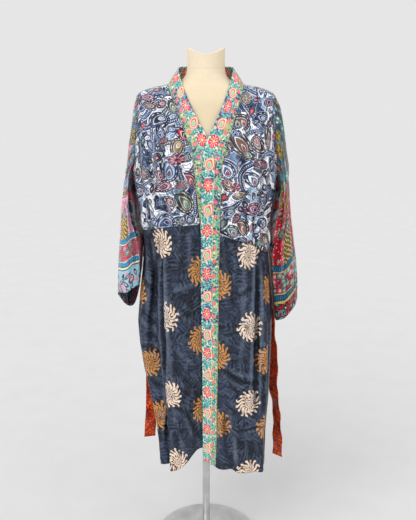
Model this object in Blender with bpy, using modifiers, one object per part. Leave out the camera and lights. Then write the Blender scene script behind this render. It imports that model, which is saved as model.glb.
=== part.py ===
"""Kimono robe worn by a dress form, for Blender 4.5. Metres, +Z up, the viewer stands at -Y.

The robe is cut from printed silks: a paisley bodice, a dark skirt, border-printed sleeves, one long
neck band and a loose belt in two loops. Heights are given as a drop below the form's neck seam, since
everything hangs from there. A ring of the robe is read at a turn in degrees, 0 at the front centre,
negative on the viewer's left, 90 at the side and 180 at the centre back.
"""

import bisect
import functools
import math

import bmesh
import bpy
import numpy as np

NECK_SEAM_HEIGHT = 1.600
ROBE_WALL = 0.0012
BAND_WALL = 0.0016
BELT_WALL = 0.0018
SEAM_GAP = 0.0003
SIDE_GAP = 0.0008
REST_DROP = 0.0023
REST_OUT = 0.0020
UP = np.array((0.0, 0.0, 1.0))

SHOULDER_END = 0.086
DRAPE_START = 0.122
NECK_POINT_DROP = 0.0465
ARMHOLE_TOP = 0.079
ARMHOLE_BOTTOM = 0.362
ARMHOLE_FRONT = 0.060
ARMHOLE_BACK = 0.066
ARMHOLE_ROWS = 13
SLEEVE_AROUND = ARMHOLE_ROWS * 2
SLEEVE_ROWS = 14
SLEEVE_MIDDLE_Y = 0.012
SLEEVE_GAP = 0.0008

BAND_WIDTH = 0.057
BAND_GAP = 0.00025
BAND_LIFT = 0.0034
OVERLAP_RAISE = 0.0042
VALLEY_LEAD = 0.045
NECK_POINT_ALONG = 0.146
NECKLINE_STEPS = 24

BELT_WIDTH = 0.040
BELT_DROP = 0.535
BELT_OUT = BELT_WALL + 0.0012
BELT_LOOP_TURN = 103.0
LOOP_HALF_HEIGHT = 0.028
LOOP_HALF_WIDTH = 0.004
LOOP_SEAT = 0.0017
LOOP_REACH = 0.0058

FRONT_COLUMNS = 13
BACK_COLUMNS = 32
SHOULDER_COLUMNS = 8
LOW_ROWS = 4
SKIRT_ROWS = 16
BAND_COLUMNS_ACROSS = 3
BAND_NECK_ROWS = 16
BAND_FRONT_ROWS = 22
BAND_HALF_ROWS = BAND_NECK_ROWS + BAND_FRONT_ROWS
BELT_BACK_ROWS = 26
BELT_TURN_ROWS = 5
BELT_TAIL_ROWS = 18
LOOP_ROWS = 12

FORM_COLUMNS = ("drop", "half_width", "front", "back", "power")
FORM_SECTIONS = (
    (0.000, 0.0560, 0.0540, 0.0600, 2.00),
    (0.015, 0.0585, 0.0555, 0.0620, 2.00),
    (0.028, 0.0660, 0.0580, 0.0650, 2.00),
    (0.038, 0.0800, 0.0605, 0.0680, 1.95),
    (0.044, 0.0960, 0.0625, 0.0695, 1.90),
    (0.049, 0.1110, 0.0650, 0.0715, 1.90),
    (0.056, 0.1480, 0.0680, 0.0740, 1.90),
    (0.064, 0.1760, 0.0720, 0.0768, 1.90),
    (0.070, 0.1905, 0.0755, 0.0790, 1.95),
    (0.077, 0.2000, 0.0790, 0.0815, 2.00),
    (0.085, 0.2050, 0.0830, 0.0845, 2.10),
    (0.096, 0.2065, 0.0870, 0.0875, 2.20),
    (0.130, 0.1990, 0.0960, 0.0920, 2.30),
    (0.170, 0.1900, 0.1060, 0.0960, 2.30),
    (0.220, 0.1760, 0.1180, 0.0985, 2.30),
    (0.270, 0.1670, 0.1270, 0.0985, 2.30),
    (0.320, 0.1560, 0.1210, 0.0930, 2.20),
    (0.380, 0.1380, 0.1040, 0.0830, 2.10),
    (0.430, 0.1270, 0.0940, 0.0780, 2.10),
    (0.500, 0.1390, 0.0910, 0.0900, 2.20),
    (0.580, 0.1610, 0.0950, 0.1080, 2.20),
    (0.640, 0.1690, 0.0960, 0.1150, 2.20),
    (0.720, 0.1660, 0.0930, 0.1120, 2.20),
    (0.780, 0.1620, 0.0900, 0.1060, 2.20),
)
ROBE_COLUMNS = ("drop", "left", "right", "front", "back", "power_left", "power_right", "power_back")
ROBE_SECTIONS = (
    (0.080, 0.2085, 0.2090, 0.0850, 0.0860, 2.1, 2.1, 2.1),
    (0.120, 0.2140, 0.2150, 0.1000, 0.0960, 2.4, 2.4, 2.4),
    (0.160, 0.2180, 0.2180, 0.1100, 0.1010, 2.6, 2.6, 2.5),
    (0.200, 0.2210, 0.2190, 0.1200, 0.1045, 2.8, 2.7, 2.6),
    (0.270, 0.2240, 0.2190, 0.1330, 0.1075, 2.9, 2.8, 2.6),
    (0.360, 0.2150, 0.2120, 0.1350, 0.1100, 2.8, 2.8, 2.5),
    (0.440, 0.2020, 0.1990, 0.1330, 0.1130, 2.8, 2.9, 2.4),
    (0.520, 0.1950, 0.1930, 0.1300, 0.1190, 2.7, 3.0, 2.3),
    (0.600, 0.2010, 0.1980, 0.1270, 0.1290, 2.5, 3.2, 2.3),
    (0.700, 0.2140, 0.2080, 0.1250, 0.1440, 2.3, 3.5, 2.3),
    (0.800, 0.2225, 0.2145, 0.1240, 0.1590, 2.2, 3.8, 2.3),
    (0.920, 0.2110, 0.2125, 0.1230, 0.1770, 2.2, 4.1, 2.3),
    (1.040, 0.1870, 0.2095, 0.1220, 0.1940, 2.5, 4.4, 2.4),
    (1.180, 0.1590, 0.2010, 0.1210, 0.2090, 4.0, 5.0, 2.6),
    (1.290, 0.1510, 0.2010, 0.1200, 0.2190, 5.0, 5.5, 2.8),
)
# The long folds of the skirt and bodice. A positive depth is a trough, and the spread is half a fold's width
# in degrees of turn. Each grows from its first drop and holds to the hem unless it fades at its last.
FOLD_COLUMNS = ("turn_top", "turn_low", "from_drop", "full_drop", "fade_drop", "gone_drop", "depth", "spread")
FOLDS = (
    (-52.0, -46.0, 0.40, 0.62, 1.40, 1.50, 0.026, 5.5),
    (-66.0, -60.0, 0.50, 0.80, 1.40, 1.50, -0.008, 6.0),
    (-78.0, -74.0, 0.42, 0.70, 1.40, 1.50, 0.012, 5.0),
    (-24.0, -28.0, 0.55, 0.95, 1.40, 1.50, 0.007, 6.0),
    (62.0, 68.0, 0.48, 0.72, 1.40, 1.50, 0.014, 4.5),
    (30.0, 34.0, 0.50, 0.90, 1.40, 1.50, 0.009, 7.0),
    (46.0, 48.0, 0.50, 0.85, 1.40, 1.50, -0.006, 6.0),
    (80.0, 80.0, 0.50, 0.80, 1.40, 1.50, 0.008, 5.0),
    (-62.0, -58.0, 0.16, 0.28, 0.50, 0.62, 0.012, 6.0),
    (-38.0, -34.0, 0.24, 0.36, 0.52, 0.66, 0.006, 6.0),
    (60.0, 58.0, 0.16, 0.30, 0.50, 0.62, 0.012, 6.0),
    (38.0, 40.0, 0.26, 0.38, 0.52, 0.66, 0.006, 6.0),
    (-100.0, -98.0, 0.58, 0.85, 1.40, 1.50, 0.012, 6.0),
    (-118.0, -122.0, 0.58, 0.80, 1.40, 1.50, 0.016, 6.5),
    (-141.0, -145.0, 0.57, 0.75, 1.40, 1.50, 0.014, 6.0),
    (-160.0, -163.0, 0.58, 0.90, 1.40, 1.50, 0.017, 6.5),
    (178.0, 176.0, 0.57, 0.80, 1.40, 1.50, 0.012, 6.0),
    (157.0, 158.0, 0.57, 0.85, 1.40, 1.50, 0.018, 6.5),
    (136.0, 138.0, 0.58, 0.80, 1.40, 1.50, 0.013, 6.0),
    (116.0, 118.0, 0.58, 0.90, 1.40, 1.50, 0.015, 6.0),
    (100.0, 98.0, 0.60, 0.95, 1.40, 1.50, 0.009, 5.0),
)
# Where the neck band is sewn to each front, and how far the band's free edge falls back from the front.
CENTRE_COLUMNS = ("drop", "under_seam", "over_seam", "valley")
CENTRE_FRONT = (
    (0.0465, -0.1122, 0.1122, 0.000),
    (0.0900, -0.0945, 0.0990, 0.000),
    (0.1400, -0.0755, 0.0835, 0.000),
    (0.1900, -0.0560, 0.0680, 0.000),
    (0.2280, -0.0415, 0.0570, 0.001),
    (0.2700, -0.0355, 0.0470, 0.003),
    (0.3700, -0.0255, 0.0430, 0.006),
    (0.4600, -0.0165, 0.0410, 0.010),
    (0.5600, -0.0125, 0.0395, 0.014),
    (0.6800, -0.0110, 0.0385, 0.019),
    (0.9000, -0.0100, 0.0365, 0.030),
    (1.1600, -0.0090, 0.0335, 0.035),
    (1.2900, -0.0080, 0.0300, 0.042),
)
# The waist seam and the hem as a drop: across the under front, across the upper front, and round the back.
EDGE_COLUMNS = ("across", "waist_seam", "hem")
UNDER_FRONT_EDGES = (
    (-0.2250, 0.486, 1.276),
    (-0.1700, 0.470, 1.274),
    (-0.1450, 0.463, 1.258),
    (-0.1340, 0.460, 1.262),
    (-0.1220, 0.457, 1.279),
    (-0.0955, 0.453, 1.268),
    (-0.0626, 0.449, 1.243),
    (-0.0330, 0.447, 1.212),
    (-0.0100, 0.447, 1.206),
    (0.0500, 0.447, 1.204),
)
OVER_FRONT_EDGES = (
    (-0.0100, 0.478, 1.248),
    (0.0240, 0.479, 1.258),
    (0.0430, 0.480, 1.265),
    (0.0810, 0.490, 1.259),
    (0.1080, 0.498, 1.277),
    (0.1650, 0.524, 1.280),
    (0.1920, 0.548, 1.280),
    (0.2250, 0.552, 1.280),
)
ROUND_COLUMNS = ("turn", "waist_seam", "hem")
BACK_EDGES = (
    (-180.0, 0.500, 1.282),
    (-120.0, 0.494, 1.280),
    (-90.0, 0.480, 1.276),
    (90.0, 0.548, 1.280),
    (120.0, 0.520, 1.281),
    (180.0, 0.500, 1.282),
)
# One row is a cut across the neck band from its sewn edge to its free edge, from the centre back to below
# the crossing of the fronts. Rows without a depth lie on the front. The under front's band uses free_under.
BAND_COLUMNS = ("along", "seam_drop", "free_x", "free_y", "free_drop", "free_under")
BAND_ROWS = (
    (0.000, 0.0445, 0.0000, 0.0730, -0.0050, 0.0000),
    (0.040, 0.0445, 0.0340, 0.0680, -0.0048, 0.0340),
    (0.088, 0.0450, 0.0640, 0.0490, -0.0040, 0.0640),
    (0.118, 0.0457, 0.0775, 0.0270, -0.0030, 0.0775),
    (0.146, 0.0465, 0.0815, 0.0030, 0.0000, 0.0815),
    (0.182, 0.0520, 0.0785, -0.0260, 0.0125, 0.0785),
    (0.222, 0.0700, 0.0705, -0.0500, 0.0400, 0.0700),
    (0.262, 0.1050, 0.0590, -0.0800, 0.0740, 0.0560),
    (0.302, 0.1400, 0.0430, None, 0.1140, 0.0370),
    (0.342, 0.1770, 0.0250, None, 0.1530, 0.0170),
    (0.382, 0.2120, 0.0060, None, 0.1910, -0.0060),
    (0.424, 0.2480, -0.0070, None, 0.2330, -0.0220),
    (0.466, 0.2860, -0.0110, None, 0.2800, -0.0290),
)
# Four guide lines down each sleeve, from the armhole to the cuff, as seen on the viewer's right.
SLEEVE_COLUMNS = (
    "along", "outer_x", "outer_drop", "inner_x", "inner_drop",
    "front_x", "front_y", "front_drop", "back_x", "back_y", "back_drop",
)
SLEEVE_RIGHT = (
    (0.00, 0.2080, 0.079, 0.2128, 0.362, 0.2100, -0.060, 0.2205, 0.2080, 0.066, 0.2205),
    (0.08, 0.2250, 0.116, 0.2170, 0.371, 0.2210, -0.067, 0.2450, 0.2200, 0.076, 0.2480),
    (0.20, 0.2360, 0.180, 0.2205, 0.395, 0.2310, -0.074, 0.2900, 0.2310, 0.086, 0.2950),
    (0.32, 0.2460, 0.255, 0.2230, 0.428, 0.2370, -0.079, 0.3450, 0.2380, 0.094, 0.3500),
    (0.44, 0.2545, 0.335, 0.2250, 0.468, 0.2410, -0.082, 0.4080, 0.2430, 0.100, 0.4100),
    (0.56, 0.2640, 0.425, 0.2258, 0.520, 0.2450, -0.083, 0.4780, 0.2470, 0.103, 0.4750),
    (0.72, 0.2805, 0.545, 0.2262, 0.610, 0.2530, -0.082, 0.5740, 0.2540, 0.105, 0.5700),
    (0.86, 0.2900, 0.636, 0.2270, 0.700, 0.2590, -0.080, 0.6580, 0.2600, 0.106, 0.6600),
    (1.00, 0.2950, 0.712, 0.2280, 0.788, 0.2600, -0.078, 0.7400, 0.2620, 0.106, 0.7400),
)
SLEEVE_LEFT = (
    (0.00, 0.2080, 0.079, 0.2158, 0.362, 0.2120, -0.060, 0.2205, 0.2100, 0.066, 0.2205),
    (0.08, 0.2180, 0.116, 0.2200, 0.371, 0.2230, -0.067, 0.2450, 0.2220, 0.076, 0.2480),
    (0.20, 0.2250, 0.180, 0.2235, 0.392, 0.2300, -0.074, 0.2850, 0.2310, 0.086, 0.2950),
    (0.32, 0.2330, 0.250, 0.2250, 0.420, 0.2350, -0.079, 0.3350, 0.2370, 0.094, 0.3500),
    (0.44, 0.2465, 0.325, 0.2250, 0.452, 0.2400, -0.082, 0.3880, 0.2420, 0.100, 0.4100),
    (0.56, 0.2620, 0.410, 0.2235, 0.490, 0.2440, -0.083, 0.4450, 0.2470, 0.103, 0.4800),
    (0.72, 0.2735, 0.520, 0.2190, 0.548, 0.2450, -0.081, 0.5250, 0.2520, 0.105, 0.5800),
    (0.86, 0.2815, 0.614, 0.2175, 0.598, 0.2440, -0.077, 0.5980, 0.2560, 0.105, 0.6800),
    (1.00, 0.2860, 0.704, 0.2180, 0.646, 0.2430, -0.072, 0.6720, 0.2590, 0.104, 0.7720),
)
SLEEVE_FOLD_COLUMNS = ("around", "from_along", "depth", "spread")
SLEEVE_FOLDS = (
    (20.0, 0.20, 0.006, 16.0),
    (60.0, 0.35, 0.005, 14.0),
    (132.0, 0.25, 0.007, 15.0),
    (205.0, 0.30, 0.008, 16.0),
    (300.0, 0.25, 0.007, 15.0),
    (338.0, 0.40, 0.004, 12.0),
)
# The belt's tails, hanging from the loops. The twist turns the ribbon from front-to-back towards sideways.
TAIL_COLUMNS = ("along", "x", "y", "drop", "twist")
TAIL_RIGHT = (
    (0.00, 0.2020, 0.062, 0.575, 84.0),
    (0.10, 0.2060, 0.066, 0.650, 72.0),
    (0.28, 0.2140, 0.068, 0.780, 54.0),
    (0.45, 0.2225, 0.069, 0.900, 36.0),
    (0.62, 0.2300, 0.069, 1.020, 24.0),
    (0.80, 0.2375, 0.067, 1.160, 18.0),
    (1.00, 0.2490, 0.062, 1.318, 14.0),
)
TAIL_LEFT = (
    (0.00, 0.2020, 0.062, 0.575, 86.0),
    (0.10, 0.1990, 0.082, 0.650, 80.0),
    (0.28, 0.1950, 0.115, 0.780, 62.0),
    (0.45, 0.1920, 0.138, 0.900, 40.0),
    (0.62, 0.1930, 0.150, 1.020, 22.0),
    (0.80, 0.1965, 0.152, 1.140, 12.0),
    (1.00, 0.2050, 0.142, 1.290, 8.0),
)

POLE_RADIUS = 0.0125
POLE_SIDES = 20
BASE_RADIUS = 0.175
BASE_THICKNESS = 0.010
BASE_BOSS_RADIUS = 0.030
BASE_BOSS_HEIGHT = 0.034
NECK_TOP_SIDE = 0.0580
NECK_TOP_CENTRE = 0.0400
FORM_AROUND = 32


def clamp(value, low=0.0, high=1.0):
    return min(max(value, low), high)


def smoothstep(low, high, value):
    t = clamp((value - low) / (high - low))
    return t * t * (3.0 - 2.0 * t)


def mix(a, b, share):
    return a + (b - a) * share


def column_curve(at, values):
    """A smooth function through the given values that never swings past them."""
    step = [(values[i + 1] - values[i]) / (at[i + 1] - at[i]) for i in range(len(at) - 1)]
    inner = [0.0 if a * b <= 0.0 else 2.0 * a * b / (a + b) for a, b in zip(step, step[1:])]
    slope = [step[0], *inner, step[-1]]

    def curve(x):
        x = clamp(x, at[0], at[-1])
        i = min(bisect.bisect_right(at, x) - 1, len(step) - 1)
        gap = at[i + 1] - at[i]
        t = (x - at[i]) / gap
        rest = 1.0 - t
        ends = (1.0 + 2.0 * t) * rest * rest * values[i] + t * t * (3.0 - 2.0 * t) * values[i + 1]
        return ends + t * rest * gap * (rest * slope[i] - t * slope[i + 1])

    return curve


def curves_of(columns, rows):
    """A smooth curve for each named column, leaving out rows where that column is empty."""
    curves = {}
    for place, name in enumerate(columns[1:], 1):
        kept = [row for row in rows if row[place] is not None]
        if len(kept) > 1:
            curves[name] = column_curve([row[0] for row in kept], [row[place] for row in kept])
    return curves


FORM = curves_of(FORM_COLUMNS, FORM_SECTIONS)
ROBE = curves_of(ROBE_COLUMNS, ROBE_SECTIONS)
CENTRE = curves_of(CENTRE_COLUMNS, CENTRE_FRONT)
UNDER_EDGES = curves_of(EDGE_COLUMNS, UNDER_FRONT_EDGES)
OVER_EDGES = curves_of(EDGE_COLUMNS, OVER_FRONT_EDGES)
ROUND_EDGES = curves_of(ROUND_COLUMNS, BACK_EDGES)
BAND = curves_of(BAND_COLUMNS, BAND_ROWS)
FOLD_LIST = [dict(zip(FOLD_COLUMNS, row)) for row in FOLDS]
SLEEVE_FOLD_LIST = [dict(zip(SLEEVE_FOLD_COLUMNS, row)) for row in SLEEVE_FOLDS]


def form_point(turn, drop):
    """A point on the dress form's body."""
    power = FORM["power"](drop)
    s = math.sin(math.radians(turn))
    c = math.cos(math.radians(turn))
    depth = FORM["front"](drop) if c > 0 else FORM["back"](drop)
    x = math.copysign(FORM["half_width"](drop) * abs(s) ** (2.0 / power), s)
    y = -math.copysign(depth * abs(c) ** (2.0 / power), c)
    return np.array((x, y, NECK_SEAM_HEIGHT - drop))


def robe_size(name, drop):
    """A column of the robe's sections. On the shoulders it is the form's own section, a resting gap larger."""
    draped = ROBE[name](drop)
    if drop >= DRAPE_START:
        return draped
    under = drop + REST_DROP
    if name.startswith("power"):
        resting = FORM["power"](under)
    elif name in ("left", "right"):
        resting = FORM["half_width"](under) + REST_OUT
    else:
        resting = FORM[name](under) + REST_OUT
    return mix(resting, draped, smoothstep(SHOULDER_END, DRAPE_START, drop))


def quarter(turn):
    """The names of the width, depth and power that rule this quarter of a ring."""
    side = "left" if turn < 0 else "right"
    if abs(turn) > 90.0:
        return side, "back", "power_back"
    return side, "front", "power_" + side


def fold_depth(turn, drop):
    """How far the folds push the cloth inwards here."""
    depth = 0.0
    for fold in FOLD_LIST:
        if drop <= fold["from_drop"] or drop >= fold["gone_drop"]:
            continue
        grown = smoothstep(fold["from_drop"], fold["full_drop"], drop)
        kept = 1.0 - smoothstep(fold["fade_drop"], fold["gone_drop"], drop)
        centre = mix(fold["turn_top"], fold["turn_low"], clamp((drop - 0.4) / 0.88))
        away = (turn - centre + 180.0) % 360.0 - 180.0
        depth += fold["depth"] * grown * kept * math.exp(-0.5 * (away / fold["spread"]) ** 2)
    return depth


def ring_point(turn, drop, out=0.0, folded=True):
    """A point on the robe's outer face, moved out by a distance where one is given."""
    side, depth_name, power_name = quarter(turn)
    width = robe_size(side, drop)
    depth = robe_size(depth_name, drop)
    power = robe_size(power_name, drop)
    s = math.sin(math.radians(turn))
    c = math.cos(math.radians(turn))
    x = math.copysign(abs(s) ** (2.0 / power), s)
    y = -math.copysign(abs(c) ** (2.0 / power), c)
    normal = np.array((
        math.copysign(abs(x) ** (power - 1.0), x) / width,
        math.copysign(abs(y) ** (power - 1.0), y) / depth,
        0.0,
    ))
    normal /= np.linalg.norm(normal)
    if folded:
        out -= fold_depth(turn, drop)
    return np.array((x * width, y * depth, NECK_SEAM_HEIGHT - drop)) + normal * out


def turn_at_x(x, drop):
    """The turn at which a front ring has reached this distance across."""
    side = "left" if x < 0 else "right"
    share = clamp(abs(x) / robe_size(side, drop))
    return math.copysign(math.degrees(math.asin(share ** (robe_size("power_" + side, drop) / 2.0))), x)


def front_point(turn, drop, over):
    """A point on one of the two crossing fronts, the upper one lifted and the lower one falling back."""
    point = ring_point(turn, drop)
    x = point[0]
    valley = CENTRE["valley"](drop)
    if over:
        seam = CENTRE["over_seam"](drop)
        point[1] -= OVERLAP_RAISE * smoothstep(0.130, 0.050, x) * smoothstep(0.100, 0.160, drop)
        point[1] += valley * smoothstep(seam + VALLEY_LEAD, seam - BAND_WIDTH, x)
    else:
        hollow = smoothstep(-0.090, -0.012, x) * smoothstep(0.200, 0.300, drop)
        point[1] += (valley * 1.12 + 0.0012) * hollow
    return point


def front_seam_turn(drop, over, gap):
    """The turn where the neck band is sewn to a front, with the front's edge held this far off it."""
    seam = CENTRE["over_seam" if over else "under_seam"](drop)
    return turn_at_x(seam + (gap if over else -gap), drop)


def even_shares(curve, count, samples=60):
    """Shares of a curve that are equally far apart along it."""
    at = np.linspace(0.0, 1.0, samples + 1)
    points = np.array([curve(share) for share in at])
    walked = np.concatenate(([0.0], np.cumsum(np.linalg.norm(np.diff(points, axis=0), axis=1))))
    return np.interp(np.linspace(0.0, walked[-1], count + 1), walked, at)


def ridge_drop(x):
    """How low the shoulder line lies at a distance from the centre."""
    low, high = NECK_POINT_DROP, ARMHOLE_TOP
    for _ in range(24):
        middle = (low + high) / 2.0
        if robe_size("right", middle) < x:
            low = middle
        else:
            high = middle
    return (low + high) / 2.0


def armhole_turn(drop, back):
    """The turn of the armhole seam, an upright oval that leaves the side seam's 90 degrees at its ends."""
    share = clamp((drop - ARMHOLE_TOP) / (ARMHOLE_BOTTOM - ARMHOLE_TOP))
    bow = (ARMHOLE_BACK if back else ARMHOLE_FRONT) * math.sqrt(max(1.0 - (2.0 * share - 1.0) ** 2, 0.0))
    depth = robe_size("back" if back else "front", drop)
    power = robe_size("power_back" if back else "power_right", drop)
    reach = math.degrees(math.asin((bow / depth) ** (power / 2.0)))
    return 90.0 + reach if back else 90.0 - reach


def shoulder_row_drop(row, start, outward):
    """The drop of a bodice row above the underarm, for a column this far towards the armhole."""
    share = row / ARMHOLE_ROWS
    beside_armhole = mix(ARMHOLE_TOP, ARMHOLE_BOTTOM, (1.0 - math.cos(math.pi * share)) / 2.0)
    return mix(mix(start, ARMHOLE_BOTTOM, share * share), beside_armhole, outward ** 5)


def across_at(turn, drop):
    """How far across a front ring is at a turn."""
    side, _, power_name = quarter(turn)
    s = math.sin(math.radians(turn))
    return math.copysign(robe_size(side, drop) * abs(s) ** (2.0 / robe_size(power_name, drop)), s)


def edges_at(turn, over):
    """The waist seam's and the hem's drop at a turn."""
    if abs(turn) > 90.0:
        return ROUND_EDGES["waist_seam"](turn), ROUND_EDGES["hem"](turn)
    front = OVER_EDGES if over else UNDER_EDGES
    side = math.copysign(90.0, turn)
    meets = smoothstep(60.0, 90.0, abs(turn))
    waist = mix(front["waist_seam"](across_at(turn, 0.50)), ROUND_EDGES["waist_seam"](side), meets)
    hem = mix(front["hem"](across_at(turn, 1.28)), ROUND_EDGES["hem"](side), meets)
    return waist, hem


def centre_of_body(height):
    return np.array((0.0, 0.0, height))


def panel_object(name, columns, rows, place, wall, closed=False, centre=centre_of_body):
    """A cut piece of cloth: a flat grid carried to its place, then given its wall inwards."""
    grid = bmesh.new()
    bmesh.ops.create_grid(grid, x_segments=columns, y_segments=rows, size=1.0)
    for vertex in grid.verts:
        column = round((vertex.co.x + 1.0) / 2.0 * columns)
        row = round((vertex.co.y + 1.0) / 2.0 * rows)
        vertex.co = place(column, row)
    if closed:
        bmesh.ops.remove_doubles(grid, verts=grid.verts, dist=1e-6)
    grid.normal_update()
    outward = 0.0
    for face in grid.faces:
        middle = np.array(face.calc_center_median())
        outward += float(np.dot(np.array(face.normal), middle - centre(middle[2]))) * face.calc_area()
    if outward < 0.0:
        bmesh.ops.reverse_faces(grid, faces=grid.faces)
    mesh = bpy.data.meshes.new(name)
    grid.to_mesh(mesh)
    grid.free()
    mesh.shade_smooth()
    made = bpy.data.objects.new(name, mesh)
    ROBE_COLLECTION.objects.link(made)
    thick = made.modifiers.new("wall", "SOLIDIFY")
    thick.thickness = wall
    thick.offset = -1.0
    return made


@functools.lru_cache(maxsize=None)
def front_bodice_row(row, over):
    """The turns and drops of one row of a front, from the neck band's seam out to the side."""
    sign = 1.0 if over else -1.0
    neck_x = robe_size("right", NECK_POINT_DROP)
    tip_x = robe_size("right", ARMHOLE_TOP)

    def at(share):
        if row == 0:
            return sign * 90.0, ridge_drop(mix(neck_x + SEAM_GAP, tip_x, share))
        if row <= ARMHOLE_ROWS:
            drop = shoulder_row_drop(row, ridge_drop(mix(neck_x, tip_x, share)), share)
            return mix(front_seam_turn(drop, over, BAND_GAP), sign * armhole_turn(drop, False), share), drop
        low = (row - ARMHOLE_ROWS) / LOW_ROWS
        guess = mix(ARMHOLE_BOTTOM, edges_at(sign * 0.5, over)[0], low)
        turn = mix(front_seam_turn(guess, over, BAND_GAP), sign * 90.0, share)
        return turn, mix(ARMHOLE_BOTTOM, edges_at(turn, over)[0] - SEAM_GAP / 2, low)

    return [at(share) for share in even_shares(lambda s: front_point(*at(s), over), FRONT_COLUMNS)]


@functools.lru_cache(maxsize=None)
def front_skirt_row(row, over):
    sign = 1.0 if over else -1.0

    def at(share):
        waist, hem = edges_at(sign * 0.5, over)
        guess = mix(waist, hem, row / SKIRT_ROWS)
        turn = mix(front_seam_turn(guess, over, BAND_GAP), sign * 90.0, share)
        waist, hem = edges_at(turn, over)
        return turn, mix(waist + SEAM_GAP / 2, hem, row / SKIRT_ROWS)

    return [at(share) for share in even_shares(lambda s: front_point(*at(s), over), FRONT_COLUMNS)]


def front_bodice_place(over):
    def place(column, row):
        turn, drop = front_bodice_row(row, over)[column]
        point = front_point(turn, drop, over)
        if row == 0:
            point[1] = -mix(SEAM_GAP / 2, SIDE_GAP, (column / FRONT_COLUMNS) ** 2)
        elif column == FRONT_COLUMNS and row >= ARMHOLE_ROWS:
            point[1] -= SIDE_GAP / 2
        return point

    return place


def front_skirt_place(over):
    def place(column, row):
        turn, drop = front_skirt_row(row, over)[column]
        point = front_point(turn, drop, over)
        if column == FRONT_COLUMNS:
            point[1] -= SIDE_GAP / 2
        return point

    return place


def round_the_back(share):
    """Turns from the viewer's left side seam, round the back, to the right side seam."""
    turn = -90.0 - 180.0 * share
    return turn if turn > -180.0 else turn + 360.0


@functools.lru_cache(maxsize=None)
def back_turns(drop, columns, folded=True):
    """Turns round the back that are equally far apart on the cloth."""
    shares = even_shares(lambda share: ring_point(round_the_back(share), drop, folded=folded), columns)
    return [round_the_back(share) for share in shares]


def back_top(column):
    """Where a column of the back bodice starts: on the shoulder line or round the back of the neck."""
    tip_x = robe_size("right", ARMHOLE_TOP)
    neck_x = robe_size("right", NECK_POINT_DROP)
    from_end = min(column, BACK_COLUMNS - column)
    if from_end <= SHOULDER_COLUMNS:
        x = mix(tip_x, neck_x, from_end / SHOULDER_COLUMNS)
        return x, ridge_drop(x), 1.0 - from_end / SHOULDER_COLUMNS
    turn = back_turns(NECK_POINT_DROP, BACK_COLUMNS - 2 * SHOULDER_COLUMNS)[column - SHOULDER_COLUMNS]
    return abs(ring_point(turn, NECK_POINT_DROP)[0]), NECK_POINT_DROP, 0.0


def back_bodice_place(column, row):
    at_side = column in (0, BACK_COLUMNS)
    if row > ARMHOLE_ROWS:
        turn = back_turns(0.43, BACK_COLUMNS)[column]
        low = (row - ARMHOLE_ROWS) / LOW_ROWS
        drop = mix(ARMHOLE_BOTTOM, edges_at(turn, turn > 0)[0] - SEAM_GAP / 2, low)
        point = ring_point(turn, drop)
        if at_side:
            point[1] += SIDE_GAP / 2
        return point
    sign = -1.0 if column < BACK_COLUMNS / 2 else 1.0
    side = "left" if sign < 0 else "right"
    top_x, start, outward = back_top(column)
    drop = shoulder_row_drop(row, start, outward)
    if row == 0 and outward > 0.0:
        point = ring_point(sign * 90.0, drop)
        point[1] = mix(SEAM_GAP / 2, SIDE_GAP, outward ** 2)
        return point
    width = robe_size(side, drop)
    power = robe_size("power_back", drop)
    armhole = armhole_turn(drop, True)
    armhole_x = width * math.sin(math.radians(armhole)) ** (2.0 / power)
    even_x = abs(ring_point(back_turns(0.30, BACK_COLUMNS)[column], 0.30, folded=False)[0])
    even_x *= armhole_x / robe_size(side, 0.30)
    top_x *= armhole_x / robe_size("right", ARMHOLE_TOP) if drop > ARMHOLE_TOP else 1.0
    x = mix(top_x, even_x, smoothstep(0.0, 1.0, row / ARMHOLE_ROWS))
    turn = 180.0 - math.degrees(math.asin(clamp(x / width) ** (power / 2.0)))
    point = ring_point(sign * (armhole if at_side else max(turn, armhole)), drop)
    if row == 0 and outward == 0.0 and column in (SHOULDER_COLUMNS, BACK_COLUMNS - SHOULDER_COLUMNS):
        point[1] = SEAM_GAP / 2
    if at_side and row == ARMHOLE_ROWS:
        point[1] += SIDE_GAP / 2
    return point


def back_skirt_place(column, row):
    share = row / SKIRT_ROWS
    turn = back_turns(round(mix(0.50, 1.28, share), 4), BACK_COLUMNS)[column]
    waist, hem = edges_at(turn, turn > 0)
    point = ring_point(turn, mix(waist + SEAM_GAP / 2, hem, share))
    if column in (0, BACK_COLUMNS):
        point[1] += SIDE_GAP / 2
    return point


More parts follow.
